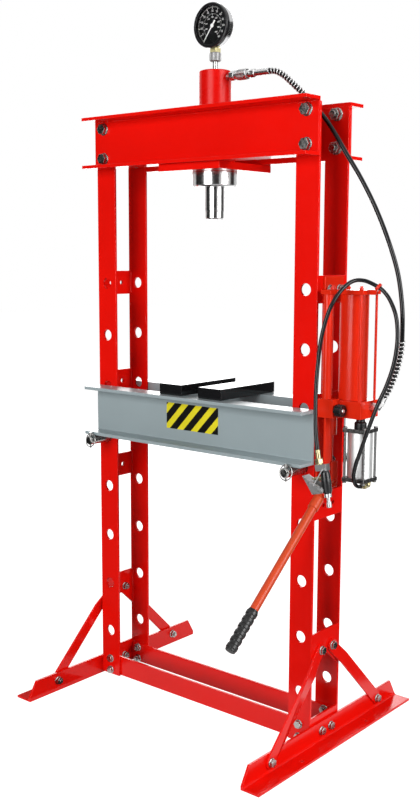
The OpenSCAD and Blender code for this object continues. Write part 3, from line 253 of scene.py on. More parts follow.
def eased(node, body, material, edge, segments=2, shortest=0.0, clamp=False):
    """A merged copy of a CAD node with its sharp edges broken, in the node's place."""
    sharp = math.radians(30)
    shape = bmesh.new()
    shape.from_mesh(nodes[node].data)
    bmesh.ops.remove_doubles(shape, verts=shape.verts, dist=1e-5)
    bmesh.ops.dissolve_limit(shape, angle_limit=math.radians(0.3), verts=shape.verts, edges=shape.edges)
    weight = shape.edges.layers.float.new("bevel_weight_edge")
    for line in shape.edges:
        if len(line.link_faces) == 2 and line.calc_face_angle() > sharp:
            if line.calc_length() > shortest:
                line[weight] = 1.0
            else:
                line.smooth = False
    mesh = bpy.data.meshes.new(node + "_eased")
    shape.to_mesh(mesh)
    shape.free()
    mesh.materials.clear()
    mesh.materials.append(material)
    smooth_faces(mesh)
    made = put(node + "_eased", mesh)
    soften = made.modifiers.new("soften", "BEVEL")
    soften.width = edge
    soften.segments = segments
    soften.limit_method = "WEIGHT"
    soften.use_clamp_overlap = clamp
    flatten = made.modifiers.new("flatten", "WEIGHTED_NORMAL")
    flatten.keep_sharp = True
    flatten.weight = 100
    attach(made, body)
    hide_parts(node)
    return made


frame_red = finish("frame_red", skin, (0.73, 0.005, 0.002), bump=0.03, gloss=0.2,
                   grain_size=330.0, cloud_size=4.0, smooth=0.16, rough=0.22)
for node in ("left_column", "right_column", "front_crosshead", "rear_crosshead", "left_foot", "right_foot",
             "brace_left_front", "brace_left_rear", "brace_right_front", "brace_right_rear",
             "front_rail", "rear_rail", "support_plate"):
    eased(node, "frame", frame_red, edge=0.0009, shortest=0.004)


# Column welds: the tie plates are welded into the uprights from the inside, and the paint lies
# over the welds. Each weld is a row of overlapping beads along the inner corner.
def geometry_tree(name, sizes):
    """A geometry node tree with a named input for each size and one for the finish."""
    tree = bpy.data.node_groups.new(name, "GeometryNodeTree")
    tree.interface.new_socket(name="Geometry", in_out="INPUT", socket_type="NodeSocketGeometry")
    for size_name, value in sizes.items():
        kind = "NodeSocketInt" if isinstance(value, int) else "NodeSocketFloat"
        socket = tree.interface.new_socket(name=size_name, in_out="INPUT", socket_type=kind)
        socket.default_value = value
    tree.interface.new_socket(name="Finish", in_out="INPUT", socket_type="NodeSocketMaterial")
    tree.interface.new_socket(name="Geometry", in_out="OUTPUT", socket_type="NodeSocketGeometry")
    return tree, wired(tree, "NodeGroupInput").outputs


def end_tree(tree, given, result):
    """The tree ends in real geometry that carries the finish."""
    real = wired(tree, "GeometryNodeRealizeInstances", {0: result})
    coated = wired(tree, "GeometryNodeSetMaterial", {
        "Geometry": real.outputs[0], "Material": given["Finish"]})
    wired(tree, "NodeGroupOutput", {0: coated.outputs[0]})


def grown_mesh(name, tree, sizes, points=((0, 0, 0),), edges=()):
    """What a tree makes with these sizes on these points and edges, as a plain mesh."""
    base = bpy.data.meshes.new(name + "_base")
    base.from_pydata(points, edges, [])
    holder = put(name + "_base", base)
    grow = holder.modifiers.new("grow", "NODES")
    grow.node_group = tree
    for item in tree.interface.items_tree:
        if item.item_type == "SOCKET" and item.in_out == "INPUT" and item.name in sizes:
            grow[item.identifier] = sizes[item.name]
    bpy.context.view_layer.update()
    evaluated = holder.evaluated_get(bpy.context.evaluated_depsgraph_get())
    mesh = bpy.data.meshes.new_from_object(evaluated)
    mesh.name = name
    bpy.data.objects.remove(holder)
    return mesh


bead_tree, bead = geometry_tree("weld_beads_on_lines", {"Spacing": 0.0022, "Bead": 0.0028})
bead_curve = wired(bead_tree, "GeometryNodeMeshToCurve", {0: bead["Geometry"]})
bead_steps = wired(bead_tree, "GeometryNodeResampleCurve",
                   {"Curve": bead_curve.outputs[0], "Length": bead["Spacing"]}, mode="LENGTH")
bead_ball = wired(bead_tree, "GeometryNodeMeshIcoSphere", {"Subdivisions": 2, "Radius": bead["Bead"]})
bead_copy = wired(bead_tree, "GeometryNodeInstanceOnPoints",
                  {"Points": bead_steps.outputs[0], "Instance": bead_ball.outputs[0]})
end_tree(bead_tree, bead, bead_copy.outputs[0])


def weld_row(name, lines, paint):
    """Rows of weld beads along straight lines, as one piece of the frame."""
    ends = [end for line in lines for end in line]
    pairs = [(i, i + 1) for i in range(0, len(ends), 2)]
    mesh = grown_mesh(name, bead_tree, {"Finish": paint}, ends, pairs)
    smooth_faces(mesh)
    made = put(name, mesh)
    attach(made, "frame")


tie_inside, upright_inside = 0.3385, 0.0535
tie_spans = ((0.012, 0.060), (0.178, 0.266), (0.548, 0.602), (0.778, 0.832), (1.043, 1.096))
column_corners = [[(side * tie_inside, depth * upright_inside, z) for z in span]
                  for side in (-1, 1) for depth in (-1, 1) for span in tie_spans]
weld_row("column_welds", column_corners, frame_red)


# Bolts, nuts and washers: they hold the crosshead, braces, rails and feet to the columns.
# Steel, zinc plated, and a little warm and cloudy from the plating bath.
def node_vector(tree, operation, inputs):
    return wired(tree, "ShaderNodeVectorMath", inputs, operation=operation).outputs["Vector"]


drawn, drawn_in, drawn_out = surface_group("turned_or_drawn_metal", [
    ("Colour", "NodeSocketColor", (0.7, 0.7, 0.7, 1)), ("Stretch", "NodeSocketVector", (1.0, 1.0, 1.0)),
    ("Line Size", "NodeSocketFloat", 900.0), ("Smooth", "NodeSocketFloat", 0.15),
    ("Rough", "NodeSocketFloat", 0.35)])
drawn_place = wired(drawn, "ShaderNodeTexCoord").outputs["Object"]
drawn_along = node_vector(drawn, "MULTIPLY", {0: drawn_place, 1: drawn_in["Stretch"]})
drawn_lines = noise_from(drawn, drawn_along, drawn_in["Line Size"], detail=3.0)
drawn_stain = noise_from(drawn, drawn_place, size=22.0, detail=4.0)
connect(drawn, drawn_out, {
    "Colour": tinted(drawn, drawn_in["Colour"], spread(drawn, drawn_stain, 0.9, 1.06)),
    "Roughness": spread(drawn, drawn_lines, drawn_in["Smooth"], drawn_in["Rough"]),
    "Height": drawn_lines})
zinc = finish("zinc_plate", drawn, (0.34, 0.34, 0.33), metallic=1.0, bump=0.05,
              stretch=(1, 1, 1), line_size=160.0, smooth=0.16, rough=0.34)
for node in ("crosshead_bolts", "crosshead_nuts", "frame_bolts", "frame_nuts"):
    eased(node, "frame", zinc, edge=0.0007)

# Bed: two rolled channels with cross plates welded between them, sprayed in grey.
# It lies on two steel pins through the columns, each secured at the front by a lynch clip
# with a ring.
bed_grey = finish("bed_grey", skin, (0.29, 0.345, 0.36), bump=0.03, gloss=0.4,
                  grain_size=330.0, cloud_size=4.0, smooth=0.28, rough=0.31)
eased("bed", "frame", bed_grey, edge=0.0009, shortest=0.004)
web_inside, cross_plate_x, cross_plate_half = 0.0612, 0.210, 0.0055
cross_plate_span = (0.688, 0.764)
bed_corners = [[(side * (cross_plate_x + face), depth * web_inside, z) for z in cross_plate_span]
               for side in (-1, 1) for face in (-cross_plate_half, cross_plate_half) for depth in (-1, 1)]
weld_row("bed_welds", bed_corners, bed_grey)
for node in ("bed_pin_left", "bed_pin_right", "pin_clip_left", "pin_clip_right"):
    eased(node, "frame", zinc, edge=0.0005)

# Hazard tape: a thin strip of plastic film, printed in diagonal bands of black and yellow.
# It is stuck on the web of the bed's front channel.
tape_x, tape_z = (-0.098, 0.069), (0.713, 0.778)
tape_front, tape_thick = -0.0677, 0.0002
tape_band, tape_slope, tape_black_share = 0.045, 0.95, 0.54
tape_plan = ((tape_x[0], tape_z[0]), (tape_x[1], tape_z[0]), (tape_x[1], tape_z[1]), (tape_x[0], tape_z[1]))
tape_mesh = bpy.data.meshes.new("bed_tape")
tape_mesh.from_pydata(
    [(x, y, z) for y in (tape_front, tape_front + tape_thick) for x, z in tape_plan],
    [], [(0, 1, 2, 3), (7, 6, 5, 4), (0, 4, 5, 1), (1, 5, 6, 2), (2, 6, 7, 3), (3, 7, 4, 0)])
tape = put("bed_tape", tape_mesh)
tape_black, tape_yellow = (0.006, 0.006, 0.005), (0.72, 0.62, 0.02)
tape_print = finish("tape_print", skin, tape_black, bump=0.05, depth=0.0001, gloss=0.15,
                    grain_size=900.0, cloud_size=40.0, smooth=0.3, rough=0.42)
tape_tree = tape_print.node_tree
tape_place = wired(tape_tree, "ShaderNodeSeparateXYZ",
                   {0: wired(tape_tree, "ShaderNodeTexCoord").outputs["Object"]}).outputs
tape_rise = node_math(tape_tree, "MULTIPLY", tape_place["Z"], tape_slope)
tape_run = node_math(tape_tree, "SUBTRACT", tape_place["X"], tape_rise)
tape_turn = node_math(tape_tree, "FRACT", node_math(tape_tree, "DIVIDE", tape_run, tape_band))
tape_mask = node_math(tape_tree, "GREATER_THAN", tape_turn, tape_black_share)
tape_mix = wired(tape_tree, "ShaderNodeMix", {
    "Factor": tape_mask, "A": (*tape_black, 1), "B": (*tape_yellow, 1)}, data_type="RGBA")
connect(tape_tree, tape_tree.nodes["surface"], {"Colour": tape_mix.outputs["Result"]})
tape_mesh.materials.append(tape_print)
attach(tape, "frame")

# Press plates: two thick bars of blackened steel that carry the work.
# They lie loose across the bed's two channels.
plate_black = finish("plate_black", skin, (0.008, 0.008, 0.009), bump=0.03, depth=0.0001, gloss=0.6,
                     grain_size=260.0, cloud_size=9.0, smooth=0.08, rough=0.14)
for node in ("press_plate_left", "press_plate_right"):
    eased(node, "frame", plate_black, edge=0.0006)


# Cylinder and ram: a red painted steel tube that hangs in the support plate, held by a turned
# ring nut. The ram is ground and hard chromed, with a turned nose, and a coil spring inside
# draws it back.
def dress(node, material):
    """A CAD node keeps its shape and gets this finish."""
    nodes[node].data.materials.clear()
    nodes[node].data.materials.append(material)


cylinder_red = finish("cylinder_red", skin, (0.64, 0.004, 0.002), bump=0.03, gloss=0.15,
                      grain_size=330.0, cloud_size=5.0, smooth=0.24, rough=0.32)
eased("cylinder", "frame", cylinder_red, edge=0.0012, shortest=0.0018)
ring_steel = finish("ring_steel", drawn, (0.52, 0.52, 0.52), metallic=1.0, bump=0.05,
                    stretch=(0.04, 0.04, 1.0), line_size=1400.0, smooth=0.12, rough=0.26)
eased("cylinder_ring", "frame", ring_steel, edge=0.0008)
for node in ("ram", "ram_nose"):
    eased(node, "ram", ring_steel, edge=0.0006)
dress("return_spring", zinc)

# Gauge stem and union nut: turned steel, screwed into the cylinder's top.
# Straight ribs are rolled round the nut, so that it can be turned by hand.
nut_steel = finish("nut_steel", drawn, (0.24, 0.24, 0.24), metallic=1.0, bump=0.04,
                   stretch=(1, 1, 1), line_size=160.0, smooth=0.45, rough=0.6)
eased("gauge_stem", "frame", zinc, edge=0.0004)
eased("gauge_nut", "frame", nut_steel, edge=0.0004)
rib_tree, rib = geometry_tree("ribs_round_a_barrel", {
    "Count": 30, "Radius": 0.013, "Length": 0.016, "Width": 0.0012})
rib_ring = wired(rib_tree, "GeometryNodeMeshCircle", {"Vertices": rib["Count"], "Radius": rib["Radius"]})
rib_size = wired(rib_tree, "ShaderNodeCombineXYZ", {"X": rib["Width"], "Y": rib["Width"], "Z": rib["Length"]})
rib_bar = wired(rib_tree, "GeometryNodeMeshCube", {"Size": rib_size.outputs[0]})
rib_index = wired(rib_tree, "GeometryNodeInputIndex").outputs[0]
rib_share = node_math(rib_tree, "DIVIDE", rib_index, rib["Count"])
rib_angle = node_math(rib_tree, "ADD", math.pi / 4, node_math(rib_tree, "MULTIPLY", 2 * math.pi, rib_share))
rib_turn = wired(rib_tree, "ShaderNodeCombineXYZ", {"Z": rib_angle})
rib_copy = wired(rib_tree, "GeometryNodeInstanceOnPoints", {
    "Points": rib_ring.outputs[0], "Instance": rib_bar.outputs[0], "Rotation": rib_turn.outputs[0]})
end_tree(rib_tree, rib, rib_copy.outputs[0])


def knurl(name, place, count, radius, length, width, metal):
    """A ring of straight ribs round a turned piece, put where place says."""
    mesh = grown_mesh(name, rib_tree, {
        "Count": count, "Radius": radius, "Length": length, "Width": width, "Finish": metal})
    mesh.transform(place)
    made = put(name, mesh)
    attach(made, "frame")


nut_low, nut_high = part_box("gauge_nut")
nut_rib_sunk, nut_rib_margin = 0.0004, 0.005
knurl("gauge_nut_knurl", Matrix.Translation((nut_low + nut_high) / 2), count=20,
      radius=(nut_high.x - nut_low.x) / 2 - nut_rib_sunk, length=nut_high.z - nut_low.z - nut_rib_margin,
      width=0.0019, metal=nut_steel)

# Gauge: a drawn steel case with a rolled black bezel and a flat glass, on a square brass
# shank. The dial is a black sheet, and the needle in front of it is white.
pale_brass = finish("pale_brass", drawn, (0.90, 0.82, 0.44), metallic=1.0, bump=0.03,
                    stretch=(0.1, 0.1, 1.0), line_size=900.0, smooth=0.34, rough=0.5)
eased("gauge_socket", "frame", pale_brass, edge=0.0005)
case_steel = finish("case_steel", drawn, (0.62, 0.62, 0.63), metallic=1.0, bump=0.02,
                    stretch=(1.0, 0.05, 1.0), line_size=700.0, smooth=0.14, rough=0.24)
eased("gauge_case", "frame", case_steel, edge=0.0004)
bezel_black = finish("bezel_black", skin, (0.012, 0.012, 0.013), bump=0.02,
                     grain_size=700.0, cloud_size=20.0, smooth=0.1, rough=0.16)
eased("gauge_bezel", "frame", bezel_black, edge=0.0006)
dial_black = finish("dial_black", skin, (0.006, 0.006, 0.007), bump=0.02, gloss=0.1,
                    grain_size=900.0, cloud_size=30.0, smooth=0.5, rough=0.6)
dress("gauge_dial", dial_black)
needle_white = finish("needle_white", skin, (0.85, 0.85, 0.84), bump=0.02,
                      grain_size=900.0, cloud_size=30.0, smooth=0.4, rough=0.5)
dress("gauge_needle", needle_white)
gauge_glass = bpy.data.materials.new("gauge_glass")
gauge_glass.use_nodes = True
connect(gauge_glass.node_tree, gauge_glass.node_tree.nodes["Principled BSDF"],
        {"Base Color": (1, 1, 1, 1), "Roughness": 0.02, "IOR": 1.2, "Transmission Weight": 1.0})
dress("gauge_glass", gauge_glass)

# Dial print: white marks and plain numbers on two scales, an outer and an inner one.
# The ink stands a fifth of a millimetre proud of the dial's sheet.
ink_thick = 0.0002
mark_tree, mark = geometry_tree("marks_round_a_dial", {
    "Count": 51, "Radius": 0.04, "Length": 0.004, "Width": 0.0006, "First": 0.0, "Sweep": 4.7})
mark_points = wired(mark_tree, "GeometryNodeMeshLine", {"Count": mark["Count"]})
mark_index = wired(mark_tree, "GeometryNodeInputIndex").outputs[0]
mark_gaps = node_math(mark_tree, "SUBTRACT", mark["Count"], 1.0)
mark_share = node_math(mark_tree, "DIVIDE", mark_index, mark_gaps)
mark_swept = node_math(mark_tree, "MULTIPLY", mark_share, mark["Sweep"])
mark_angle = node_math(mark_tree, "ADD", mark["First"], mark_swept)
mark_place = wired(mark_tree, "ShaderNodeCombineXYZ", {
    "X": node_math(mark_tree, "MULTIPLY", node_math(mark_tree, "SINE", mark_angle), mark["Radius"]),
    "Z": node_math(mark_tree, "MULTIPLY", node_math(mark_tree, "COSINE", mark_angle), mark["Radius"])})
mark_set = wired(mark_tree, "GeometryNodeSetPosition", {
    "Geometry": mark_points.outputs[0], "Position": mark_place.outputs[0]})
mark_size = wired(mark_tree, "ShaderNodeCombineXYZ", {
    "X": mark["Width"], "Y": ink_thick, "Z": mark["Length"]})
mark_bar = wired(mark_tree, "GeometryNodeMeshCube", {"Size": mark_size.outputs[0]})
mark_turn = wired(mark_tree, "ShaderNodeCombineXYZ", {"Y": mark_angle})
mark_copy = wired(mark_tree, "GeometryNodeInstanceOnPoints", {
    "Points": mark_set.outputs[0], "Instance": mark_bar.outputs[0], "Rotation": mark_turn.outputs[0]})
end_tree(mark_tree, mark, mark_copy.outputs[0])

dial_first, dial_sweep = math.radians(217), math.radians(286)
dial_shape = bmesh.new()
for mark_count, mark_radius, mark_length, mark_width in (
    (61, 0.0425, 0.003, 0.0006),
    (13, 0.0408, 0.0064, 0.0013),
    (41, 0.0268, 0.002, 0.0005),
    (9, 0.0258, 0.004, 0.001),
):
    dial_shape.from_mesh(grown_mesh("dial_mark_row", mark_tree, {
        "Count": mark_count, "Radius": mark_radius, "Length": mark_length, "Width": mark_width,
        "First": dial_first, "Sweep": dial_sweep, "Finish": needle_white}))
for figure_gaps, figure_step, figure_radius, figure_size in (
    (12, 5, 0.0335, 0.0066),
    (8, 100, 0.0195, 0.0046),
):
    for i in range(figure_gaps + 1):
        figure = bpy.data.curves.new("dial_figure", "FONT")
        figure.body = str(figure_step * i)
        figure.size = figure_size
        figure.align_x = "CENTER"
        figure.align_y = "CENTER"
        figure.extrude = ink_thick / 2
        writing = put("dial_figure", figure)
        bpy.context.view_layer.update()
        flat = bpy.data.meshes.new_from_object(writing.evaluated_get(bpy.context.evaluated_depsgraph_get()))
        angle = dial_first + dial_sweep * i / figure_gaps
        spot = Matrix.Translation((figure_radius * math.sin(angle), 0, figure_radius * math.cos(angle)))
        flat.transform(spot @ Matrix.Rotation(math.pi / 2, 4, "X"))
        dial_shape.from_mesh(flat)
        bpy.data.objects.remove(writing)
dial_marks = bpy.data.meshes.new("dial_marks")
dial_shape.to_mesh(dial_marks)
dial_shape.free()
dial_low, dial_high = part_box("gauge_dial")
dial_marks.transform(Matrix.Translation((
    (dial_low.x + dial_high.x) / 2, dial_low.y - ink_thick / 2, (dial_low.z + dial_high.z) / 2)))
dial_marks.materials.clear()
dial_marks.materials.append(needle_white)
dial_print = put("dial_marks", dial_marks)
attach(dial_print, "frame")

# Coupler and hose fittings: the quick coupler's two turned steel halves, screwed into the
# cylinder, with a ribbed sleeve that locks them, and the elbow in the pump block.
turned_steel = finish("turned_steel", drawn, (0.66, 0.66, 0.66), metallic=1.0, bump=0.04,
                      stretch=(1.0, 0.05, 0.05), line_size=1200.0, smooth=0.16, rough=0.3)
for node in ("hose_coupler", "hose_fitting"):
    eased(node, "frame", turned_steel, edge=0.0005)
eased("coupler_sleeve", "frame", turned_steel, edge=0.0006)
sleeve_low, sleeve_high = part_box("coupler_sleeve")
sleeve_rib_sunk, sleeve_rib_margin = 0.0003, 0.008
sleeve_place = Matrix.Translation((sleeve_low + sleeve_high) / 2) @ Matrix.Rotation(math.pi / 2, 4, "Y")
knurl("coupler_sleeve_knurl", sleeve_place, count=30,
      radius=(sleeve_high.z - sleeve_low.z) / 2 - sleeve_rib_sunk,
      length=sleeve_high.x - sleeve_low.x - sleeve_rib_margin, width=0.0012,
      metal=turned_steel)

# Pump: a red block bolted to the column, with the oil reservoir held between it and the top plate
# by four tie rods, and an oil pipe in front. The plunger with its slotted fork slides in the block.
# The pump's red is mixed more orange than the frame's red. Part of that is the paint's own tone, and part is
# painted warm light: the glow that light from the right gives its right faces, put into the colour of every
# face.
pump_red_and_warm_light = finish("pump_red_and_warm_light", skin, (0.65, 0.020, 0.005), bump=0.04, gloss=0.2,
                  grain_size=360.0, cloud_size=7.0, smooth=0.14, rough=0.22)
for node in ("pump_block", "reservoir", "pump_cap", "pump_rods", "oil_pipe"):
    eased(node, "frame", pump_red_and_warm_light, edge=0.0008, shortest=0.0015)
eased("plunger", "plunger", pump_red_and_warm_light, edge=0.0008)

# Release knob: fluted, moulded in black plastic, on the release valve's spindle in the pump block.
# A turned steel screw with a sunk socket holds it on.
knob_black = finish("knob_black", skin, (0.008, 0.008, 0.009), bump=0.05, gloss=0.4,
                    grain_size=500.0, cloud_size=30.0, smooth=0.2, rough=0.3)
eased("release_knob", "knob", knob_black, edge=0.0008)
knob_low, knob_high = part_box("release_knob")
screw_radius, screw_top_radius, screw_high, screw_proud = 0.0048, 0.0042, 0.0016, 0.0006
socket_radius, socket_depth, screw_sides = 0.0026, 0.0011, 24
screw_foot = knob_high.x + screw_proud - screw_high / 2
screw_top = screw_foot + screw_high
screw_shape = bmesh.new()
screw_rings = []
for x, radius in ((screw_foot, screw_radius), (screw_top, screw_top_radius), (screw_top, socket_radius),
                  (screw_top - socket_depth, socket_radius)):
    screw_rings.append([])
    for k in range(screw_sides):
        angle = 2 * math.pi * k / screw_sides
        screw_rings[-1].append(screw_shape.verts.new((
            x, (knob_low.y + knob_high.y) / 2 + radius * math.cos(angle),
            (knob_low.z + knob_high.z) / 2 + radius * math.sin(angle))))
for ring, following in zip(screw_rings, screw_rings[1:]):
    for k in range(screw_sides):
        n = (k + 1) % screw_sides
        screw_shape.faces.new((ring[k], ring[n], following[n], following[k]))
screw_shape.faces.new(list(reversed(screw_rings[0])))
screw_shape.faces.new(screw_rings[-1])
bmesh.ops.recalc_face_normals(screw_shape, faces=screw_shape.faces)
screw_mesh = bpy.data.meshes.new("knob_screw")
screw_shape.to_mesh(screw_mesh)
screw_shape.free()
screw_mesh.materials.append(turned_steel)
knob_screw = put("knob_screw", screw_mesh)
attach(knob_screw, "knob")

# Hand lever: a painted tube in a socket that turns on the fulcrum pin under the pump and drives
# the plunger's fork. A ribbed rubber grip is pushed over the tube's end.
lever_red = finish("lever_red", skin, (0.52, 0.055, 0.014), bump=0.05, gloss=0.22,
                   grain_size=360.0, cloud_size=7.0, smooth=0.24, rough=0.36)
for node in ("lever_socket", "lever"):
    eased(node, "lever", lever_red, edge=0.0006)
grip_rubber = finish("grip_rubber", skin, (0.008, 0.008, 0.008), bump=0.1, depth=0.0003, gloss=0.35,
                     grain_size=800.0, cloud_size=20.0, smooth=0.26, rough=0.4)
eased("lever_grip", "lever", grip_rubber, edge=0.0012, segments=3)


# Hydraulic hose: black rubber over a wire braid, from the quick coupler on the cylinder, down
# between the crosshead's channels and out to the pump block's elbow.
def along_route(points, steps):
    """A smooth line through the route's points, with the given steps between each two."""
    line = []
    for i in range(len(points) - 1):
        before, a, b, after = (Vector(points[max(i - 1, 0)]), Vector(points[i]), Vector(points[i + 1]),
                               Vector(points[min(i + 2, len(points) - 1)]))
        for k in range(steps):
            t = k / steps
            line.append(0.5 * (2 * a + (b - before) * t + (2 * before - 5 * a + 4 * b - after) * t * t
                               + (3 * a - before - 3 * b + after) * t ** 3))
    line.append(Vector(points[-1]))
    return line


def length_of(line):
    return sum((b - a).length for a, b in zip(line, line[1:]))


def hose_mesh(name, line, radius, sides, rubber):
    """A closed tube along a line, with its length in metres kept in the UV map."""
    shape = bmesh.new()
    uv = shape.loops.layers.uv.new("UVMap")
    rings, runs, run, side = [], [], 0.0, None
    for i, point in enumerate(line):
        heading = (line[min(i + 1, len(line) - 1)] - line[max(i - 1, 0)]).normalized()
        side = heading.orthogonal() if side is None else side - heading * side.dot(heading)
        side.normalize()
        lift = heading.cross(side)
        run += (point - line[i - 1]).length if i else 0.0
        runs.append(run)
        angles = [2 * math.pi * k / sides for k in range(sides)]
        rings.append([shape.verts.new(point + radius * (math.cos(angle) * side + math.sin(angle) * lift))
                      for angle in angles])
    for i in range(len(rings) - 1):
        for k in range(sides):
            n = (k + 1) % sides
            face = shape.faces.new((rings[i][k], rings[i][n], rings[i + 1][n], rings[i + 1][k]))
            face.smooth = True
            corners = ((i, k), (i, k + 1), (i + 1, k + 1), (i + 1, k))
            for loop, (ring, step) in zip(face.loops, corners):
                loop[uv].uv = (runs[ring], step / sides)
    shape.faces.new(list(reversed(rings[0])))
    shape.faces.new(rings[-1])
    bmesh.ops.recalc_face_normals(shape, faces=shape.faces)
    mesh = bpy.data.meshes.new(name)
    shape.to_mesh(mesh)
    shape.free()
    mesh.materials.append(rubber)
    return mesh


hose_rubber = finish("hose_rubber", skin, (0.006, 0.006, 0.007), bump=0.04, gloss=0.22,
                     grain_size=700.0, cloud_size=14.0, smooth=0.07, rough=0.12)
oil_thick = 0.010
oil_route = [
    (0.162, 0, 1.563), (0.180, 0, 1.561), (0.203, 0, 1.549), (0.228, 0, 1.529), (0.256, 0, 1.505),
    (0.281, 0, 1.481), (0.305, 0, 1.458), (0.328, 0, 1.432), (0.350, 0, 1.402), (0.371, 0, 1.371),
    (0.411, 0.002, 1.313), (0.449, 0.004, 1.248), (0.482, 0.005, 1.178), (0.507, 0.007, 1.107),
    (0.519, 0.008, 1.037), (0.521, 0.009, 0.980), (0.519, 0.010, 0.945), (0.512, 0.010, 0.908),
    (0.500, 0.010, 0.872), (0.490, 0.010, 0.8505), (0.481, 0.010, 0.836)]
oil_line = along_route(oil_route, steps=8)
oil_hose = put("hydraulic_hose_rubber", hose_mesh(
    "hydraulic_hose_rubber", oil_line, radius=oil_thick / 2, sides=16, rubber=hose_rubber))
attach(oil_hose, "frame")
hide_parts("hydraulic_hose")

# Spring guards: coils of steel wire over both ends of the hydraulic hose, so it can't kink there.
# Each is one open coil, wound along the hose's own line.
guard_steel = finish("guard_steel", drawn, (0.50, 0.50, 0.50), metallic=1.0, bump=0.03,
                     stretch=(1, 1, 1), line_size=500.0, smooth=0.25, rough=0.4)
coil_tree, coil = geometry_tree("wire_coil_on_a_line", {
    "Coil Radius": 0.006, "Wire Radius": 0.0009, "Turns": 20.0, "Points": 400})
coil_curve = wired(coil_tree, "GeometryNodeMeshToCurve", {0: coil["Geometry"]})
coil_steps = wired(coil_tree, "GeometryNodeResampleCurve", {
    "Curve": coil_curve.outputs[0], "Count": coil["Points"]})
coil_share = wired(coil_tree, "GeometryNodeSplineParameter").outputs["Factor"]
coil_whole = node_math(coil_tree, "MULTIPLY", coil["Turns"], 2 * math.pi)
coil_angle = node_math(coil_tree, "MULTIPLY", coil_share, coil_whole)
coil_normal = wired(coil_tree, "GeometryNodeInputNormal").outputs[0]
coil_tangent = wired(coil_tree, "GeometryNodeInputTangent").outputs[0]
coil_side = node_vector(coil_tree, "CROSS_PRODUCT", {0: coil_tangent, 1: coil_normal})
coil_out = node_math(coil_tree, "MULTIPLY", node_math(coil_tree, "COSINE", coil_angle), coil["Coil Radius"])
coil_over = node_math(coil_tree, "MULTIPLY", node_math(coil_tree, "SINE", coil_angle), coil["Coil Radius"])
coil_offset = node_vector(coil_tree, "ADD", {
    0: node_vector(coil_tree, "SCALE", {0: coil_normal, "Scale": coil_out}),
    1: node_vector(coil_tree, "SCALE", {0: coil_side, "Scale": coil_over})})
coil_wound = wired(coil_tree, "GeometryNodeSetPosition", {
    "Geometry": coil_steps.outputs[0], "Offset": coil_offset})
coil_wire = wired(coil_tree, "GeometryNodeCurvePrimitiveCircle", {
    "Resolution": 6, "Radius": coil["Wire Radius"]})
coil_sweep = wired(coil_tree, "GeometryNodeCurveToMesh", {
    "Curve": coil_wound.outputs[0], "Profile Curve": coil_wire.outputs[0], "Fill Caps": True})
end_tree(coil_tree, coil, coil_sweep.outputs[0])


def wound_coil(name, line, coil_radius, wire_radius, coil_pitch, wire):
    """A wire coil wound round a line."""
    turns = round(length_of(line) / coil_pitch)
    points_per_turn = 14
    mesh = grown_mesh(name, coil_tree, {
        "Coil Radius": coil_radius, "Wire Radius": wire_radius, "Turns": float(turns),
        "Points": turns * points_per_turn, "Finish": wire},
        [tuple(point) for point in line], [(i, i + 1) for i in range(len(line) - 1)])
    smooth_faces(mesh)
    return put(name, mesh)


guard_points_top, guard_points_low = 33, 37
for guard_name, guard_line in (
    ("hose_guard_top", oil_line[:guard_points_top]),
    ("hose_guard_low", oil_line[-guard_points_low:]),
):
    guard = wound_coil(guard_name, guard_line, coil_radius=0.0062, wire_radius=0.0014, coil_pitch=0.0088,
                       wire=guard_steel)
    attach(guard, "frame")

# Air motor: a drawn aluminium tube clamped between two dark steel plates by four rods.
# It hangs from the pump block on a black adapter, with a brass elbow for the air underneath.
tube_silver = finish("tube_silver", drawn, (0.74, 0.75, 0.75), metallic=1.0, bump=0.03,
                     stretch=(1.0, 1.0, 0.03), line_size=800.0, smooth=0.4, rough=0.5)
eased("air_tube", "frame", tube_silver, edge=0.0005)
clamp_steel = finish("clamp_steel", drawn, (0.17, 0.17, 0.17), metallic=1.0, bump=0.05,
                     stretch=(1, 1, 1), line_size=160.0, smooth=0.22, rough=0.38)
eased("air_motor_ends", "frame", clamp_steel, edge=0.0009)
eased("air_motor_rods", "frame", clamp_steel, edge=0.0004)
eased("air_adapter", "frame", knob_black, edge=0.0007)
brass = finish("brass", drawn, (0.42, 0.37, 0.21), metallic=1.0, bump=0.03,
               stretch=(0.1, 0.1, 1.0), line_size=900.0, smooth=0.22, rough=0.38)
eased("air_elbow", "frame", brass, edge=0.0005)

# Pendant valve: a moulded black handle on a plated pipe, which a brass tail joins to the hose.
# A folded steel trigger on a cross pin presses the brass button in the handle's side.
valve_top = Vector((0.408, -0.142, 0.730))
valve_lean = math.radians(-10)
valve_along = Vector((math.cos(valve_lean), 0, -math.sin(valve_lean)))
valve_down = -Vector((math.sin(valve_lean), 0, math.cos(valve_lean)))
tail_length, button_face, button_below = 0.0315, 0.001, 0.07


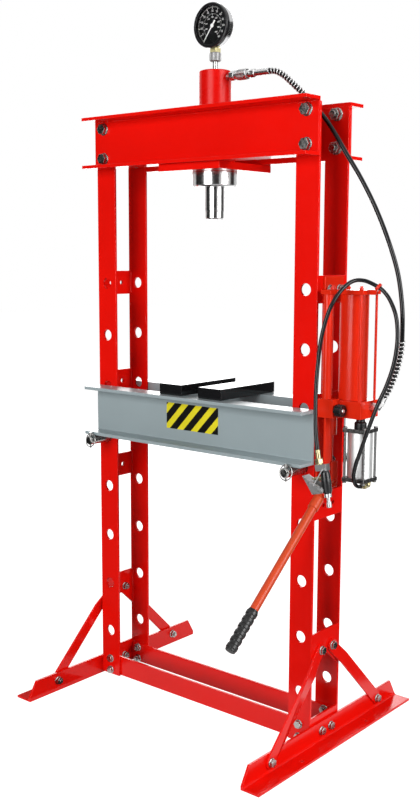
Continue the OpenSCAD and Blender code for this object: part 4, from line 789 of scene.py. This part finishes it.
def second_finish(piece, material, belongs):
    """The faces whose place, seen from the valve's top, belongs get another finish."""
    piece.data.materials.append(material)
    for face in piece.data.polygons:
        place = face.center - valve_top
        if belongs(place.dot(valve_along), place.dot(valve_down)):
            face.material_index = 1


valve_core = eased("valve_core", "frame", brass, edge=0.0004)
second_finish(valve_core, guard_steel, lambda along, down: down > tail_length)
air_valve = eased("air_valve", "frame", knob_black, edge=0.0006, clamp=True)
second_finish(air_valve, brass, lambda along, down: along < button_face and down < button_below)
trigger_steel = finish("trigger_steel", drawn, (0.46, 0.46, 0.46), metallic=1.0, bump=0.04,
                       stretch=(1, 1, 1), line_size=300.0, smooth=0.26, rough=0.42)
air_trigger = eased("air_trigger", "trigger", trigger_steel, edge=0.0004)

# Air hose: plain black rubber, from the elbow under the air motor up through the eye on the
# pump's top plate, and over to the pendant valve that hangs from it in front of the pump.
air_thick = 0.009
air_route = [
    (0.441, -0.016, 0.632), (0.4414, -0.0264, 0.6334), (0.4422, -0.036, 0.6374), (0.4432, -0.0443, 0.6437),
    (0.4444, -0.0506, 0.652), (0.4458, -0.0546, 0.6616), (0.4475, -0.056, 0.672), (0.453, -0.056, 0.694),
    (0.464, -0.054, 0.727), (0.479, -0.050, 0.774), (0.494, -0.043, 0.822), (0.510, -0.034, 0.866),
    (0.521, -0.026, 0.910), (0.525, -0.020, 0.952), (0.523, -0.016, 0.988), (0.515, -0.012, 1.020),
    (0.498, -0.008, 1.050), (0.481, -0.008, 1.069), (0.4635, -0.013, 1.081), (0.442, -0.026, 1.091),
    (0.426, -0.046, 1.089), (0.415, -0.072, 1.070), (0.405, -0.094, 1.038), (0.395, -0.102, 1.001),
    (0.388, -0.108, 0.958), (0.386, -0.114, 0.907), (0.388, -0.122, 0.858), (0.393, -0.130, 0.815),
    (0.400, -0.138, 0.770), (0.405, -0.141, 0.746), (0.408, -0.142, 0.730)]
air_line = along_route(air_route, steps=6)
air_hose = put("air_hose_rubber", hose_mesh(
    "air_hose_rubber", air_line, radius=air_thick / 2, sides=14, rubber=hose_rubber))
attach(air_hose, "frame")
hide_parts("air_hose")
